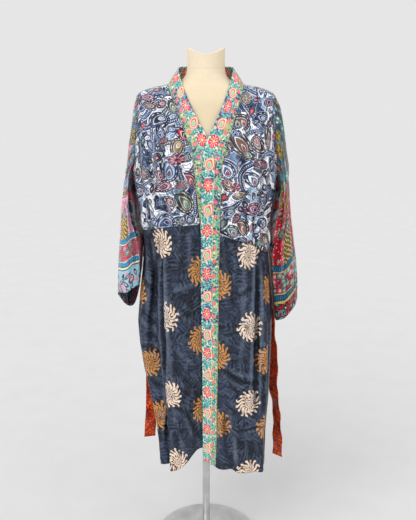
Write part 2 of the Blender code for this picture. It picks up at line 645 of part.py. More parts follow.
def sleeve_place(table, sign):
    """A sleeve as four guide lines with an oval drawn through them at every height."""
    guides = curves_of(SLEEVE_COLUMNS, table)

    def guide_point(around, along):
        s = math.sin(around)
        c = math.cos(around)
        outer = np.array((guides["outer_x"](along), SLEEVE_MIDDLE_Y, guides["outer_drop"](along)))
        inner = np.array((guides["inner_x"](along), SLEEVE_MIDDLE_Y, guides["inner_drop"](along)))
        front = np.array([guides["front_" + axis](along) for axis in ("x", "y", "drop")])
        back = np.array([guides["back_" + axis](along) for axis in ("x", "y", "drop")])
        middle = mix((front + back) / 2.0, (outer + inner) / 2.0, s * s)
        return middle + (outer - inner) / 2.0 * s + (front - back) / 2.0 * c

    def armhole_point(around):
        drop = mix(ARMHOLE_TOP, ARMHOLE_BOTTOM, (1.0 - math.sin(around)) / 2.0)
        turn = armhole_turn(drop, math.cos(around) < 0.0)
        x, y, z = ring_point(turn * sign, drop)
        return np.array((abs(x) + SLEEVE_GAP, y, NECK_SEAM_HEIGHT - z))

    def place(column, row):
        around = math.radians(90.0 - 360.0 * column / SLEEVE_AROUND)
        along = (row / SLEEVE_ROWS) ** 1.15
        point = guide_point(around, along)
        point += (armhole_point(around) - guide_point(around, 0.0)) * smoothstep(0.22, 0.0, along)
        push = 0.0
        for fold in SLEEVE_FOLD_LIST:
            away = (math.degrees(around) - fold["around"] + 180.0) % 360.0 - 180.0
            grown = smoothstep(fold["from_along"], fold["from_along"] + 0.3, along)
            push += fold["depth"] * grown * math.exp(-0.5 * (away / fold["spread"]) ** 2)
        inward = guide_point(around + math.pi, along) - guide_point(around, along)
        inward[2] = 0.0
        point = point + inward / max(np.linalg.norm(inward), 1e-9) * push
        return np.array((point[0] * sign, point[1], NECK_SEAM_HEIGHT - point[2]))

    def centre(height):
        return np.array((sign * 0.245, SLEEVE_MIDDLE_Y, height))

    return place, centre


def neckline_point(along, over):
    """The edge the neck band is sewn to: round the back of the neck, over the shoulder, down the front."""
    if along <= NECK_POINT_ALONG:
        turns = back_turns(NECK_POINT_DROP, 2 * NECKLINE_STEPS)
        where = NECKLINE_STEPS * (1.0 + along / NECK_POINT_ALONG)
        first = min(int(where), 2 * NECKLINE_STEPS - 1)
        one = ring_point(turns[first], NECK_POINT_DROP)
        two = ring_point(turns[first + 1], NECK_POINT_DROP)
        point = mix(one, two, where - first)
        return point if over else point * np.array((-1.0, 1.0, 1.0))
    drop = BAND["seam_drop"](along)
    return front_point(front_seam_turn(drop, over, -BAND_GAP), drop, over)


def band_at_neck(along, across, over):
    """The upper run of the band, standing round the neck and lying down onto the front."""
    sign = 1.0 if over else -1.0
    sewn = neckline_point(along, over) + UP * SEAM_GAP * 1.5 * smoothstep(0.320, 0.200, along)
    free_x = BAND["free_x" if over else "free_under"](along)
    free_drop = BAND["free_drop"](along)
    free = np.array((sign * free_x, BAND["free_y"](along), NECK_SEAM_HEIGHT - free_drop))
    standing = mix(sewn, free, across)
    lies = smoothstep(0.222, 0.302, along)
    if lies == 0.0:
        return standing
    seam_x = sewn[0] if across < 0.001 else mix(sewn[0], sign * free_x, across)
    drop = mix(NECK_SEAM_HEIGHT - sewn[2], free_drop, across)
    lying = front_point(turn_at_x(seam_x, drop), drop, over)
    lying[1] -= BAND_LIFT * mix(0.6, 1.0, across) * smoothstep(0.360, 0.300, along)
    return mix(standing, lying, lies)


def band_down_front(share, across, over):
    """The long run of the band from below the crossing to the hem."""
    last = BAND_ROWS[-1][0]
    top = BAND["seam_drop"](last)
    seam_low = CENTRE["over_seam" if over else "under_seam"](1.26)
    if over:
        low = OVER_EDGES["hem"](seam_low - 0.040 * across)
    else:
        low = UNDER_EDGES["hem"](seam_low + BAND_WIDTH * across)
    drop = mix(top, low, share)
    drop += (BAND["free_drop"](last) - top) * across * smoothstep(0.15, 0.0, share)
    valley = CENTRE["valley"](drop)
    if over:
        x = CENTRE["over_seam"](drop) - BAND_GAP - math.sqrt(BAND_WIDTH ** 2 - valley ** 2) * across
    else:
        x = CENTRE["under_seam"](drop) + BAND_GAP + BAND_WIDTH * 0.97 * across
    return front_point(turn_at_x(x, drop), drop, over)


def band_place(column, row):
    """One strip: up the under front, round the neck, and down the upper front."""
    over = row > BAND_HALF_ROWS
    step = abs(row - BAND_HALF_ROWS)
    across = column / BAND_COLUMNS_ACROSS
    if step <= BAND_NECK_ROWS:
        return band_at_neck(BAND_ROWS[-1][0] * step / BAND_NECK_ROWS, across, over)
    return band_down_front((step - BAND_NECK_ROWS) / BAND_FRONT_ROWS, across, over)


def belt_place():
    """The belt's path from the end of the left tail, up through its loop, round the back and down again."""
    tails = {-1.0: curves_of(TAIL_COLUMNS, TAIL_LEFT), 1.0: curves_of(TAIL_COLUMNS, TAIL_RIGHT)}
    first = BELT_LOOP_TURN + 6.0
    stations = []

    def tail_station(sign, along):
        tail = tails[sign]
        twist = math.radians(tail["twist"](along))
        centre = np.array((sign * tail["x"](along), tail["y"](along), NECK_SEAM_HEIGHT - tail["drop"](along)))
        return centre, np.array((sign * math.cos(twist), -math.sin(twist), 0.0)) * BELT_WIDTH

    def back_station(turn):
        low = ring_point(turn, BELT_DROP + BELT_WIDTH / 2, BELT_OUT, folded=False)
        high = ring_point(turn, BELT_DROP - BELT_WIDTH / 2, BELT_OUT, folded=False)
        return (low + high) / 2.0, high - low

    def turned_station(sign, share):
        """Between the back and a tail the belt folds over from upright to hanging."""
        start, up = back_station(sign * first)
        end, across = tail_station(sign, 0.0)
        angle = share * math.pi / 2.0
        reach = (math.sin(angle), math.sin(angle), 1.0 - math.cos(angle))
        centre = start + (end - start) * np.array(reach)
        lean = up * math.cos(angle) + across * math.sin(angle)
        return centre, lean / np.linalg.norm(lean) * BELT_WIDTH

    stations += [tail_station(-1.0, 1.0 - step / BELT_TAIL_ROWS) for step in range(BELT_TAIL_ROWS)]
    stations += [turned_station(-1.0, 1.0 - step / BELT_TURN_ROWS) for step in range(BELT_TURN_ROWS)]
    for step in range(BELT_BACK_ROWS + 1):
        turn = -first - (360.0 - 2.0 * first) * step / BELT_BACK_ROWS
        stations.append(back_station(turn if turn > -180.0 else turn + 360.0))
    stations += [turned_station(1.0, (step + 1) / BELT_TURN_ROWS) for step in range(BELT_TURN_ROWS)]
    stations += [tail_station(1.0, (step + 1) / BELT_TAIL_ROWS) for step in range(BELT_TAIL_ROWS)]

    def place(column, row):
        centre, across = stations[row]
        return centre + across * (column / 2.0 - 0.5)

    return place, len(stations) - 1


def loop_place(sign):
    """A narrow strip sewn on at its two ends, arching over the belt."""
    turn = sign * (BELT_LOOP_TURN + 11.0)

    def place(column, row):
        share = 2.0 * row / LOOP_ROWS - 1.0
        drop = BELT_DROP + share * LOOP_HALF_HEIGHT
        rise = mix(LOOP_SEAT, LOOP_REACH, 1.0 - share ** 6)
        centre = ring_point(turn, drop, rise, folded=False)
        ahead = ring_point(turn + sign, drop, rise, folded=False) - centre
        return centre + ahead / np.linalg.norm(ahead) * LOOP_HALF_WIDTH * (2.0 * column - 1.0)

    return place


def loft_object(name, rings, around, place):
    """A closed body: a grid rolled into a tube, its first and last rings capped."""
    tube = bmesh.new()
    bmesh.ops.create_grid(tube, x_segments=around, y_segments=rings, size=1.0)
    for vertex in tube.verts:
        column = round((vertex.co.x + 1.0) / 2.0 * around)
        row = round((vertex.co.y + 1.0) / 2.0 * rings)
        vertex.co = place(360.0 * column / around - 180.0, row)
    bmesh.ops.remove_doubles(tube, verts=tube.verts, dist=1e-6)
    bmesh.ops.holes_fill(tube, edges=tube.edges, sides=0)
    bmesh.ops.recalc_face_normals(tube, faces=tube.faces)
    mesh = bpy.data.meshes.new(name)
    tube.to_mesh(mesh)
    tube.free()
    mesh.shade_smooth()
    mesh.set_sharp_from_angle(angle=math.radians(45.0))
    made = bpy.data.objects.new(name, mesh)
    ROBE_COLLECTION.objects.link(made)
    return made


TORSO_DROPS = (
    0.0003, 0.010, 0.020, 0.028, 0.034, 0.040, 0.045, 0.050, 0.055, 0.060, 0.065, 0.070, 0.076, 0.084,
    0.096, 0.115, 0.140, 0.175, 0.220, 0.265, 0.310, 0.360, 0.410, 0.460, 0.520, 0.590, 0.660, 0.730, 0.768,
)
TORSO_BOTTOM_EDGE = (0.780, 0.95)


def torso_place(turn, row):
    if row < len(TORSO_DROPS):
        return form_point(turn, TORSO_DROPS[row])
    drop, share = TORSO_BOTTOM_EDGE
    point = form_point(turn, drop)
    return np.array((point[0] * share, point[1] * share, point[2]))


NECK_RINGS = (0.0, 0.30, 0.62, 1.0)


def neck_place(turn, row):
    """The neck stands on the seam, and its top is scooped along the front-to-back line."""
    s = math.sin(math.radians(turn))
    c = math.cos(math.radians(turn))
    share = NECK_RINGS[row]
    rise = mix(NECK_TOP_CENTRE, NECK_TOP_SIDE, s * s)
    depth = FORM["front"](0.0) if c > 0 else FORM["back"](0.0)
    waist = 1.0 - 0.012 * math.sin(math.pi * share)
    x = FORM["half_width"](0.0) * s * waist
    return np.array((x, -depth * c * waist, NECK_SEAM_HEIGHT + rise * share))


def material_for(name, colour, roughness, metallic=0.0):
    made = bpy.data.materials.new(name)
    made.use_nodes = True
    shader = made.node_tree.nodes["Principled BSDF"]
    shader.inputs["Base Color"].default_value = (*colour, 1.0)
    shader.inputs["Roughness"].default_value = roughness
    shader.inputs["Metallic"].default_value = metallic
    return made


def stand_pieces():
    """The pole, and a weighted base with its boss, turned from one profile."""
    pole_low = BASE_THICKNESS + BASE_BOSS_HEIGHT + SEAM_GAP
    pole_high = NECK_SEAM_HEIGHT - TORSO_BOTTOM_EDGE[0] - SEAM_GAP
    bpy.ops.mesh.primitive_cylinder_add(
        vertices=POLE_SIDES, radius=POLE_RADIUS, depth=pole_high - pole_low,
        location=(0.0, 0.0, (pole_high + pole_low) / 2.0),
    )
    pole = bpy.context.object
    pole.name = "form_pole"
    edge = 0.0025
    profile = (
        (0.0, BASE_THICKNESS + BASE_BOSS_HEIGHT),
        (BASE_BOSS_RADIUS * 0.62, BASE_THICKNESS + BASE_BOSS_HEIGHT),
        (BASE_BOSS_RADIUS * 0.75, BASE_THICKNESS + BASE_BOSS_HEIGHT - edge),
        (BASE_BOSS_RADIUS, BASE_THICKNESS),
        (BASE_RADIUS - edge, BASE_THICKNESS),
        (BASE_RADIUS, BASE_THICKNESS - edge),
        (BASE_RADIUS, edge * 0.4),
        (BASE_RADIUS - edge * 0.4, 0.0),
        (0.0, 0.0),
    )
    mesh = bpy.data.meshes.new("form_base")
    mesh.from_pydata([(radius, 0.0, z) for radius, z in profile], [(i, i + 1) for i in range(len(profile) - 1)], [])
    base = bpy.data.objects.new("form_base", mesh)
    turned = base.modifiers.new("turned", "SCREW")
    turned.steps = 40
    turned.render_steps = 40
    turned.use_merge_vertices = True
    turned.merge_threshold = 0.0001
    for piece in (pole, base):
        for held in list(piece.users_collection):
            held.objects.unlink(piece)
        ROBE_COLLECTION.objects.link(piece)
    return pole, base


for leftover in list(bpy.data.objects):
    bpy.data.objects.remove(leftover)
ROBE_COLLECTION = bpy.data.collections.new("kimono_robe_on_dress_form")
bpy.context.scene.collection.children.link(ROBE_COLLECTION)

PAISLEY = material_for("paisley_silk", (0.42, 0.47, 0.58), 0.55)
DARK = material_for("dark_silk", (0.045, 0.055, 0.085), 0.45)
BORDER = material_for("border_silk", (0.42, 0.12, 0.16), 0.55)
FLORAL = material_for("floral_band", (0.45, 0.60, 0.45), 0.60)
RUST = material_for("rust_silk", (0.52, 0.09, 0.03), 0.55)
JERSEY = material_for("form_cover", (0.83, 0.74, 0.58), 0.85)
STEEL = material_for("stand_metal", (0.55, 0.55, 0.56), 0.35, 1.0)

panels = {
    "front_bodice_right": (FRONT_COLUMNS, ARMHOLE_ROWS + LOW_ROWS, front_bodice_place(True), PAISLEY),
    "front_bodice_left": (FRONT_COLUMNS, ARMHOLE_ROWS + LOW_ROWS, front_bodice_place(False), PAISLEY),
    "back_bodice": (BACK_COLUMNS, ARMHOLE_ROWS + LOW_ROWS, back_bodice_place, PAISLEY),
    "front_skirt_right": (FRONT_COLUMNS, SKIRT_ROWS, front_skirt_place(True), DARK),
    "front_skirt_left": (FRONT_COLUMNS, SKIRT_ROWS, front_skirt_place(False), DARK),
    "back_skirt": (BACK_COLUMNS, SKIRT_ROWS, back_skirt_place, DARK),
}
for panel_name, (columns, rows, place, cloth) in panels.items():
    panel_object(panel_name, columns, rows, place, ROBE_WALL).data.materials.append(cloth)

for sleeve_name, table, sign in (("sleeve_right", SLEEVE_RIGHT, 1.0), ("sleeve_left", SLEEVE_LEFT, -1.0)):
    place, centre = sleeve_place(table, sign)
    sleeve = panel_object(sleeve_name, SLEEVE_AROUND, SLEEVE_ROWS, place, ROBE_WALL, closed=True, centre=centre)
    sleeve.data.materials.append(BORDER)

band = panel_object("neck_band", BAND_COLUMNS_ACROSS, 2 * BAND_HALF_ROWS, band_place, BAND_WALL)
band.data.materials.append(FLORAL)

place, rows = belt_place()
panel_object("belt", 2, rows, place, BELT_WALL).data.materials.append(RUST)
for loop_name, sign in (("belt_loop_right", 1.0), ("belt_loop_left", -1.0)):
    panel_object(loop_name, 1, LOOP_ROWS, loop_place(sign), ROBE_WALL).data.materials.append(DARK)

loft_object("form_torso", len(TORSO_DROPS), FORM_AROUND, torso_place).data.materials.append(JERSEY)
loft_object("form_neck", len(NECK_RINGS) - 1, FORM_AROUND, neck_place).data.materials.append(JERSEY)
for piece in stand_pieces():
    piece.data.materials.append(STEEL)
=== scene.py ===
# %% [markdown]
# # A silk kimono robe on a dress form
# The robe is sewn from printed silks: a paisley bodice, a dark skirt, border-printed sleeves, one long
# neck band and a loose belt. Every piece is a flat cut that is hung on the form, so each one is made
# here as a flat grid of cloth that is carried to its place. The grid remembers where it lay when it was
# flat, as a UV map in metres, and the prints and the weave are drawn on that map.

import math

import bmesh
import bpy
import numpy as np
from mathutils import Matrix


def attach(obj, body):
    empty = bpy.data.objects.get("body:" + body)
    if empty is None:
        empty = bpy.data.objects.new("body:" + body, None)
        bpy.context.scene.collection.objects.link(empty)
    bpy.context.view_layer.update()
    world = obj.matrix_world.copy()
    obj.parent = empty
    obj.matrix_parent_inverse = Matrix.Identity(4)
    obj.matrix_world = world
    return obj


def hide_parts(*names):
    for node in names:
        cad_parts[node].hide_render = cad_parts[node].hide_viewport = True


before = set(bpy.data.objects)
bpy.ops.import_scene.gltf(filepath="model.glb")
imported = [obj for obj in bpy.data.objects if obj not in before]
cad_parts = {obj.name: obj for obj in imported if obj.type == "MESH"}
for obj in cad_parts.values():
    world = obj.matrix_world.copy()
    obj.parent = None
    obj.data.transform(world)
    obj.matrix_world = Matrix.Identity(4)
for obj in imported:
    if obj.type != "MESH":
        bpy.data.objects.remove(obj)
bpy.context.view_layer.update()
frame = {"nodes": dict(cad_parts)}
print("nodes:", ", ".join(sorted(frame["nodes"])))

# %% [markdown]
# ## Camera and light
# The picture was taken from chest height with the lens a little above the collar, looking down at the
# robe. A soft sun from the left and front gives the folds their shade, and a pale world fills the rest.
# Both are even everywhere, so the plain floor meets the plain background without an edge.

# %% Camera, sun, world
SENSOR, FOCAL_PIXELS, PHOTO_HEIGHT, LENS_DOWN = 36.0, 700.0, 520.0, 15.34
camera_data = bpy.data.cameras.new("camera")
camera_data.sensor_fit = "VERTICAL"
camera_data.sensor_height = SENSOR
camera_data.lens = SENSOR * FOCAL_PIXELS / PHOTO_HEIGHT
camera = bpy.data.objects.new("camera", camera_data)
camera.location = (0.006, -2.14, 1.6)
camera.rotation_euler = (math.radians(90.0 - LENS_DOWN), 0.0, 0.0)
bpy.context.scene.collection.objects.link(camera)
bpy.context.scene.camera = camera

LIGHTS = (  # name, strength, spread and turns in degrees
    ("key", 1.55, 50.0, (48.0, 0.0, -34.0)),
    ("side", 0.45, 60.0, (62.0, 0.0, 48.0)),
)
for name, strength, spread, turned in LIGHTS:
    light = bpy.data.lights.new(name, "SUN")
    light.energy = strength
    light.angle = math.radians(spread)
    lamp = bpy.data.objects.new(name, light)
    lamp.rotation_euler = [math.radians(angle) for angle in turned]
    bpy.context.scene.collection.objects.link(lamp)
print("camera and", len(bpy.data.lights), "lights")

# %% [markdown]
# Colours are written as they look on a screen, and one function turns them to the linear values that
# the shaders work in.

# %% Colours and the world
def linear(colour):
    """A screen colour such as "#E6E6E6" as linear red, green, blue and a full alpha."""
    shares = np.array([int(colour[i:i + 2], 16) for i in (1, 3, 5)]) / 255.0
    return (*np.where(shares <= 0.04045, shares / 12.92, ((shares + 0.055) / 1.055) ** 2.4), 1.0)


world = bpy.data.worlds.new("studio")
world.use_nodes = True
world.node_tree.nodes["Background"].inputs["Color"].default_value = linear("#E6E6E6")
bpy.context.scene.world = world
bpy.context.scene.view_settings.view_transform = "Standard"


# %% [markdown]
# ## Nodes
# A material is a chain of nodes. One function adds a node, sets its values and links what comes in. What it
# returns works like a number: a sum, a product or a comparison with it adds the Math node that works it
# out, so the materials below read as formulas. A new material takes all the nodes that are added after it.

# %% Helpers for nodes
def fill(socket, value):
    """Links a socket, or sets its number or screen colour; None leaves it as it is."""
    if isinstance(value, Wire):
        tree.links.new(value.socket, socket)
    elif value is not None:
        socket.default_value = linear(value) if isinstance(value, str) else value


def add(kind, *inputs, out=0, named=(), **settings):
    """Adds a node, fills its sockets in order or by name and returns an output, or all of them.

    A word in capitals is the operation of a Math node."""
    node = tree.nodes.new("ShaderNodeMath" if kind.isupper() else "ShaderNode" + kind)
    if kind.isupper():
        node.operation = kind
    for setting, value in settings.items():
        setattr(node, setting, value)
    for socket, value in zip([socket for socket in node.inputs if socket.enabled], inputs):
        fill(socket, value)
    for name, value in named:
        fill(node.inputs[name], value)
    if isinstance(out, str):
        return Wire(node.outputs[out])
    outputs = [Wire(socket) for socket in node.outputs if socket.enabled]
    return outputs if out is None else outputs[out]


def maths(kind, swapped=False):
    """A Math node as an operator between outputs and numbers."""
    return lambda one, other: add(kind, other, one) if swapped else add(kind, one, other)


class Wire:
    """An output of a node, ready to be used in formulas."""
    __add__, __radd__ = maths("ADD"), maths("ADD", True)
    __sub__, __rsub__ = maths("SUBTRACT"), maths("SUBTRACT", True)
    __mul__, __rmul__ = maths("MULTIPLY"), maths("MULTIPLY", True)
    __truediv__, __rtruediv__, __pow__ = maths("DIVIDE"), maths("DIVIDE", True), maths("POWER")
    __gt__, __lt__ = maths("GREATER_THAN"), maths("LESS_THAN")

    def __init__(self, socket):
        self.socket = socket

    def __abs__(self):
        return add("ABSOLUTE", self)


def short_for(kind, **settings):
    """A short name for adding one kind of node."""
    return lambda *inputs, **more: add(kind, *inputs, **settings, **more)


# scaled(x, a, b) is x * a + b, and noise takes a place, a scale, detail and roughness.
sine, cosine, root, larger, scaled, noise = (
    short_for(kind) for kind in ("SINE", "COSINE", "SQRT", "MAXIMUM", "MULTIPLY_ADD", "TexNoise"))
parts = short_for("SeparateXYZ", out=None)


def ranged(value, low, high, start=0.0, end=1.0):
    """One stretch of a value mapped onto another stretch, and held at its ends."""
    return add("MapRange", value, low, high, start, end)


def on(uv_map):
    """The place on one of the cloth's two maps."""
    return add("UVMap", uv_map=uv_map)


def stored(name, out=0):
    """What the cloth stores under a name."""
    return add("Attribute", attribute_name=name, out=out)


def painted(under, over, share):
    """One colour laid over another by a share."""
    return add("Mix", share, under, over, data_type="RGBA")


def layered(colour, *layers):
    """A colour with others laid over it in turn, each with its share."""
    for over, share in layers:
        colour = painted(colour, over, share)
    return colour


def toned(value, *stops, blend="CONSTANT"):
    """A screen colour for each height of a value, in flat steps unless they are to be blended."""
    colour = add("ValToRGB", value)
    bar = tree.nodes[-1].color_ramp
    bar.interpolation = blend
    while len(bar.elements) < len(stops):
        bar.elements.new(0.5)
    for stop, (at, tone) in zip(bar.elements, stops):
        stop.position, stop.color = at, linear(tone)
    return colour


def new_material(name):
    """A material with an empty Principled shader. The nodes added next go into its tree."""
    global tree, shader
    made = bpy.data.materials.new(name)
    made.use_nodes = True
    tree, shader = made.node_tree, made.node_tree.nodes["Principled BSDF"]
    return made


def shade(looks):
    """Fills inputs of the material's shader by their names."""
    for name, value in looks.items():
        fill(shader.inputs[name], value)


# %% [markdown]
# ## Floor
# A plain pale floor. It is only staging and isn't part of the robe.

# %% Floor
floor_material = new_material("matt_painted_board")
speck = noise(None, 900.0)
tone = painted("#D4D4D4", "#D7D7D7", ranged(speck, 0.3, 0.7))
shade({"Base Color": tone, "Roughness": 1.0, "Specular IOR Level": 0.0})
grid = bmesh.new()
bmesh.ops.create_circle(grid, cap_ends=True, segments=64, radius=60.0)
floor_mesh = bpy.data.meshes.new("floor")
grid.to_mesh(floor_mesh)
grid.free()
floor_mesh.materials.append(floor_material)
floor = bpy.data.objects.new("floor", floor_mesh)
bpy.context.scene.collection.objects.link(floor)

# %% [markdown]
# ## Sizes
# The cloth takes its shape from a few short tables. Heights are a drop below the neck's seam, because
# everything hangs from there. A ring round the robe is read at a turn in degrees: 0 is the front centre,
# negative is the viewer's left, 90 is the side and 180 the centre back. A smooth curve runs through each
# column, and it never swings past its values.

# %% Tables of the form and the robe
NECK_SEAM_HEIGHT = 1.6
FORM_ROWS = (  # drop, half width, front, back, power
    (0.0, 0.056, 0.054, 0.06, 2.0), (0.015, 0.0585, 0.0555, 0.062, 2.0), (0.028, 0.066, 0.058, 0.065, 2.0),
    (0.038, 0.08, 0.0605, 0.068, 1.95), (0.044, 0.096, 0.0625, 0.0695, 1.9),
    (0.049, 0.111, 0.065, 0.0715, 1.9), (0.056, 0.148, 0.068, 0.074, 1.9), (0.064, 0.176, 0.072, 0.0768, 1.9),
    (0.07, 0.1905, 0.0755, 0.079, 1.95), (0.077, 0.2, 0.079, 0.0815, 2.0), (0.085, 0.205, 0.083, 0.0845, 2.1),
    (0.096, 0.2065, 0.087, 0.0875, 2.2), (0.13, 0.199, 0.096, 0.092, 2.3), (0.17, 0.19, 0.106, 0.096, 2.3),
    (0.22, 0.176, 0.118, 0.0985, 2.3), (0.27, 0.167, 0.127, 0.0985, 2.3), (0.32, 0.156, 0.121, 0.093, 2.2),
    (0.38, 0.138, 0.104, 0.083, 2.1), (0.43, 0.127, 0.094, 0.078, 2.1), (0.5, 0.139, 0.091, 0.09, 2.2),
    (0.58, 0.161, 0.095, 0.108, 2.2), (0.64, 0.169, 0.096, 0.115, 2.2), (0.72, 0.166, 0.093, 0.112, 2.2),
    (0.78, 0.162, 0.09, 0.106, 2.2),
)
ROBE_ROWS = (  # drop, left, right, front, back, power at the left, the right and the back
    (0.08, 0.2085, 0.209, 0.085, 0.086, 2.1, 2.1, 2.1), (0.12, 0.214, 0.215, 0.1, 0.096, 2.4, 2.4, 2.4),
    (0.16, 0.218, 0.218, 0.11, 0.101, 2.6, 2.6, 2.5), (0.2, 0.221, 0.219, 0.12, 0.1045, 2.8, 2.7, 2.6),
    (0.27, 0.224, 0.219, 0.133, 0.1075, 2.9, 2.8, 2.6), (0.36, 0.215, 0.212, 0.135, 0.11, 2.8, 2.8, 2.5),
    (0.44, 0.202, 0.199, 0.133, 0.113, 2.8, 2.9, 2.4), (0.52, 0.195, 0.193, 0.13, 0.119, 2.7, 3.0, 2.3),
    (0.6, 0.201, 0.198, 0.127, 0.129, 2.5, 3.2, 2.3), (0.7, 0.214, 0.208, 0.125, 0.144, 2.3, 3.5, 2.3),
    (0.8, 0.2225, 0.2145, 0.124, 0.159, 2.2, 3.8, 2.3), (0.92, 0.211, 0.2125, 0.123, 0.177, 2.2, 4.1, 2.3),
    (1.04, 0.187, 0.2095, 0.122, 0.194, 2.5, 4.4, 2.4), (1.18, 0.159, 0.201, 0.121, 0.209, 4.0, 5.0, 2.6),
    (1.29, 0.151, 0.201, 0.12, 0.219, 5.0, 5.5, 2.8),
)
# Turn at the top and at the hem, the drops where a fold starts, is full, fades and is gone, its depth
# inwards and its spread in degrees.
FOLD_ROWS = (
    (-52.0, -46.0, 0.4, 0.62, 1.4, 1.5, 0.026, 5.5), (-66.0, -60.0, 0.5, 0.8, 1.4, 1.5, -0.008, 6.0),
    (-78.0, -74.0, 0.42, 0.7, 1.4, 1.5, 0.012, 5.0), (-24.0, -28.0, 0.55, 0.95, 1.4, 1.5, 0.007, 6.0),
    (62.0, 68.0, 0.48, 0.72, 1.4, 1.5, 0.014, 4.5), (30.0, 34.0, 0.5, 0.9, 1.4, 1.5, 0.009, 7.0),
    (46.0, 48.0, 0.5, 0.85, 1.4, 1.5, -0.006, 6.0), (80.0, 80.0, 0.5, 0.8, 1.4, 1.5, 0.008, 5.0),
    (-62.0, -58.0, 0.16, 0.28, 0.5, 0.62, 0.012, 6.0), (-38.0, -34.0, 0.24, 0.36, 0.52, 0.66, 0.006, 6.0),
    (60.0, 58.0, 0.16, 0.3, 0.5, 0.62, 0.012, 6.0), (38.0, 40.0, 0.26, 0.38, 0.52, 0.66, 0.006, 6.0),
    (-100.0, -98.0, 0.58, 0.85, 1.4, 1.5, 0.012, 6.0), (-118.0, -122.0, 0.58, 0.8, 1.4, 1.5, 0.016, 6.5),
    (-141.0, -145.0, 0.57, 0.75, 1.4, 1.5, 0.014, 6.0), (-160.0, -163.0, 0.58, 0.9, 1.4, 1.5, 0.017, 6.5),
    (178.0, 176.0, 0.57, 0.8, 1.4, 1.5, 0.012, 6.0), (157.0, 158.0, 0.57, 0.85, 1.4, 1.5, 0.018, 6.5),
    (136.0, 138.0, 0.58, 0.8, 1.4, 1.5, 0.013, 6.0), (116.0, 118.0, 0.58, 0.9, 1.4, 1.5, 0.015, 6.0),
    (100.0, 98.0, 0.6, 0.95, 1.4, 1.5, 0.009, 5.0),
)


def smooth_curve(at, values):
    """A smooth function through the values that never swings past them."""
    at, values = np.array(at, float), np.array(values, float)
    step = np.diff(values) / np.diff(at)
    product, total = step[:-1] * step[1:], step[:-1] + step[1:]
    inner = np.where(product > 0.0, 2.0 * product / np.where(total == 0.0, 1.0, total), 0.0)
    slope = np.concatenate((step[:1], inner, step[-1:]))

    def curve(x):
        x = np.clip(x, at[0], at[-1])
        i = np.clip(np.searchsorted(at, x, side="right") - 1, 0, len(step) - 1)
        gap = at[i + 1] - at[i]
        t = (x - at[i]) / gap
        rest = 1.0 - t
        ends = (1.0 + 2.0 * t) * rest * rest * values[i] + t * t * (3.0 - 2.0 * t) * values[i + 1]
        return ends + t * rest * gap * (rest * slope[i] - t * slope[i + 1])

    return curve


def curves(names, rows):
    """A smooth curve for each named column of a table, leaving out rows where it is empty."""
    made = {}
    for place, name in enumerate(names.split(), 1):
        kept = [row for row in rows if row[place] is not None]
        made[name] = smooth_curve([row[0] for row in kept], [row[place] for row in kept])
    return made


FORM = curves("half_width front back power", FORM_ROWS)
ROBE = curves("left right front back power_left power_right power_back", ROBE_ROWS)
print(len(FORM_ROWS), "sections of the form,", len(ROBE_ROWS), "of the robe,", len(FOLD_ROWS), "long folds")


# %% [markdown]
# Each ring is a rounded rectangle, and the long folds push it in or out. On the shoulders the ring is the
# form's own section a little larger, because there the silk rests on the form.

# %% Rings of the robe
REST_DROP, REST_OUT = 0.0023, 0.002
SHOULDER_END, DRAPE_START = 0.086, 0.122
FOLDS_FROM, FOLDS_LONG = 0.4, 0.88


def soft_step(low, high, value):
    t = np.clip((value - low) / (high - low), 0.0, 1.0)
    return t * t * (3.0 - 2.0 * t)


def mix(a, b, share):
    return a + (b - a) * share


def joined(*parts):
    """Grids of numbers, or single ones, as the coordinates of points."""
    return np.stack(np.broadcast_arrays(*parts), axis=-1)


def unit(vectors):
    return vectors / np.maximum(np.linalg.norm(vectors, axis=-1, keepdims=True), 1e-9)


def rounded(s, power):
    """How a sine or cosine runs round a rounded rectangle, which is the squarer the higher the power."""
    return np.sign(s) * np.abs(s) ** (2.0 / power)


def down_shares(rows, first=0):
    """Shares from 0 at the top row of a grid to 1 at its last, as a column."""
    return np.linspace(0.0, 1.0, rows + 1)[first:, None]


def fold_shape(turn, centre, spread):
    """A smooth hump round a turn, in degrees."""
    away = (turn - centre + 180.0) % 360.0 - 180.0
    return np.exp(-0.5 * (away / spread) ** 2)


def robe_size(name, drop):
    """A column of the robe's sections, resting on the form at the shoulders."""
    under = drop + REST_DROP
    if name.startswith("power"):
        resting = FORM["power"](under)
    elif name in ("left", "right"):
        resting = FORM["half_width"](under) + REST_OUT
    else:
        resting = FORM[name](under) + REST_OUT
    return mix(resting, ROBE[name](drop), soft_step(SHOULDER_END, DRAPE_START, drop))


def fold_depth(turn, drop):
    """How far the long folds push the cloth inwards."""
    depth = np.zeros(np.broadcast(turn, drop).shape)
    for top, low, start, full, fading, gone, deep, spread in FOLD_ROWS:
        grown = soft_step(start, full, drop) * (1.0 - soft_step(fading, gone, drop))
        centre = mix(top, low, np.clip((drop - FOLDS_FROM) / FOLDS_LONG, 0.0, 1.0))
        depth = depth + deep * grown * fold_shape(turn, centre, spread)
    return depth


def both(turn, drop):
    """Turns and drops as arrays of the same shape."""
    return np.broadcast_arrays(np.asarray(turn, float), np.asarray(drop, float))


def sine_cosine(turn):
    return np.sin(np.radians(turn)), np.cos(np.radians(turn))


def side_size(left, drop, prefix=""):
    """The robe's half width, or its power, on the left or the right."""
    return np.where(left, robe_size(prefix + "left", drop), robe_size(prefix + "right", drop))


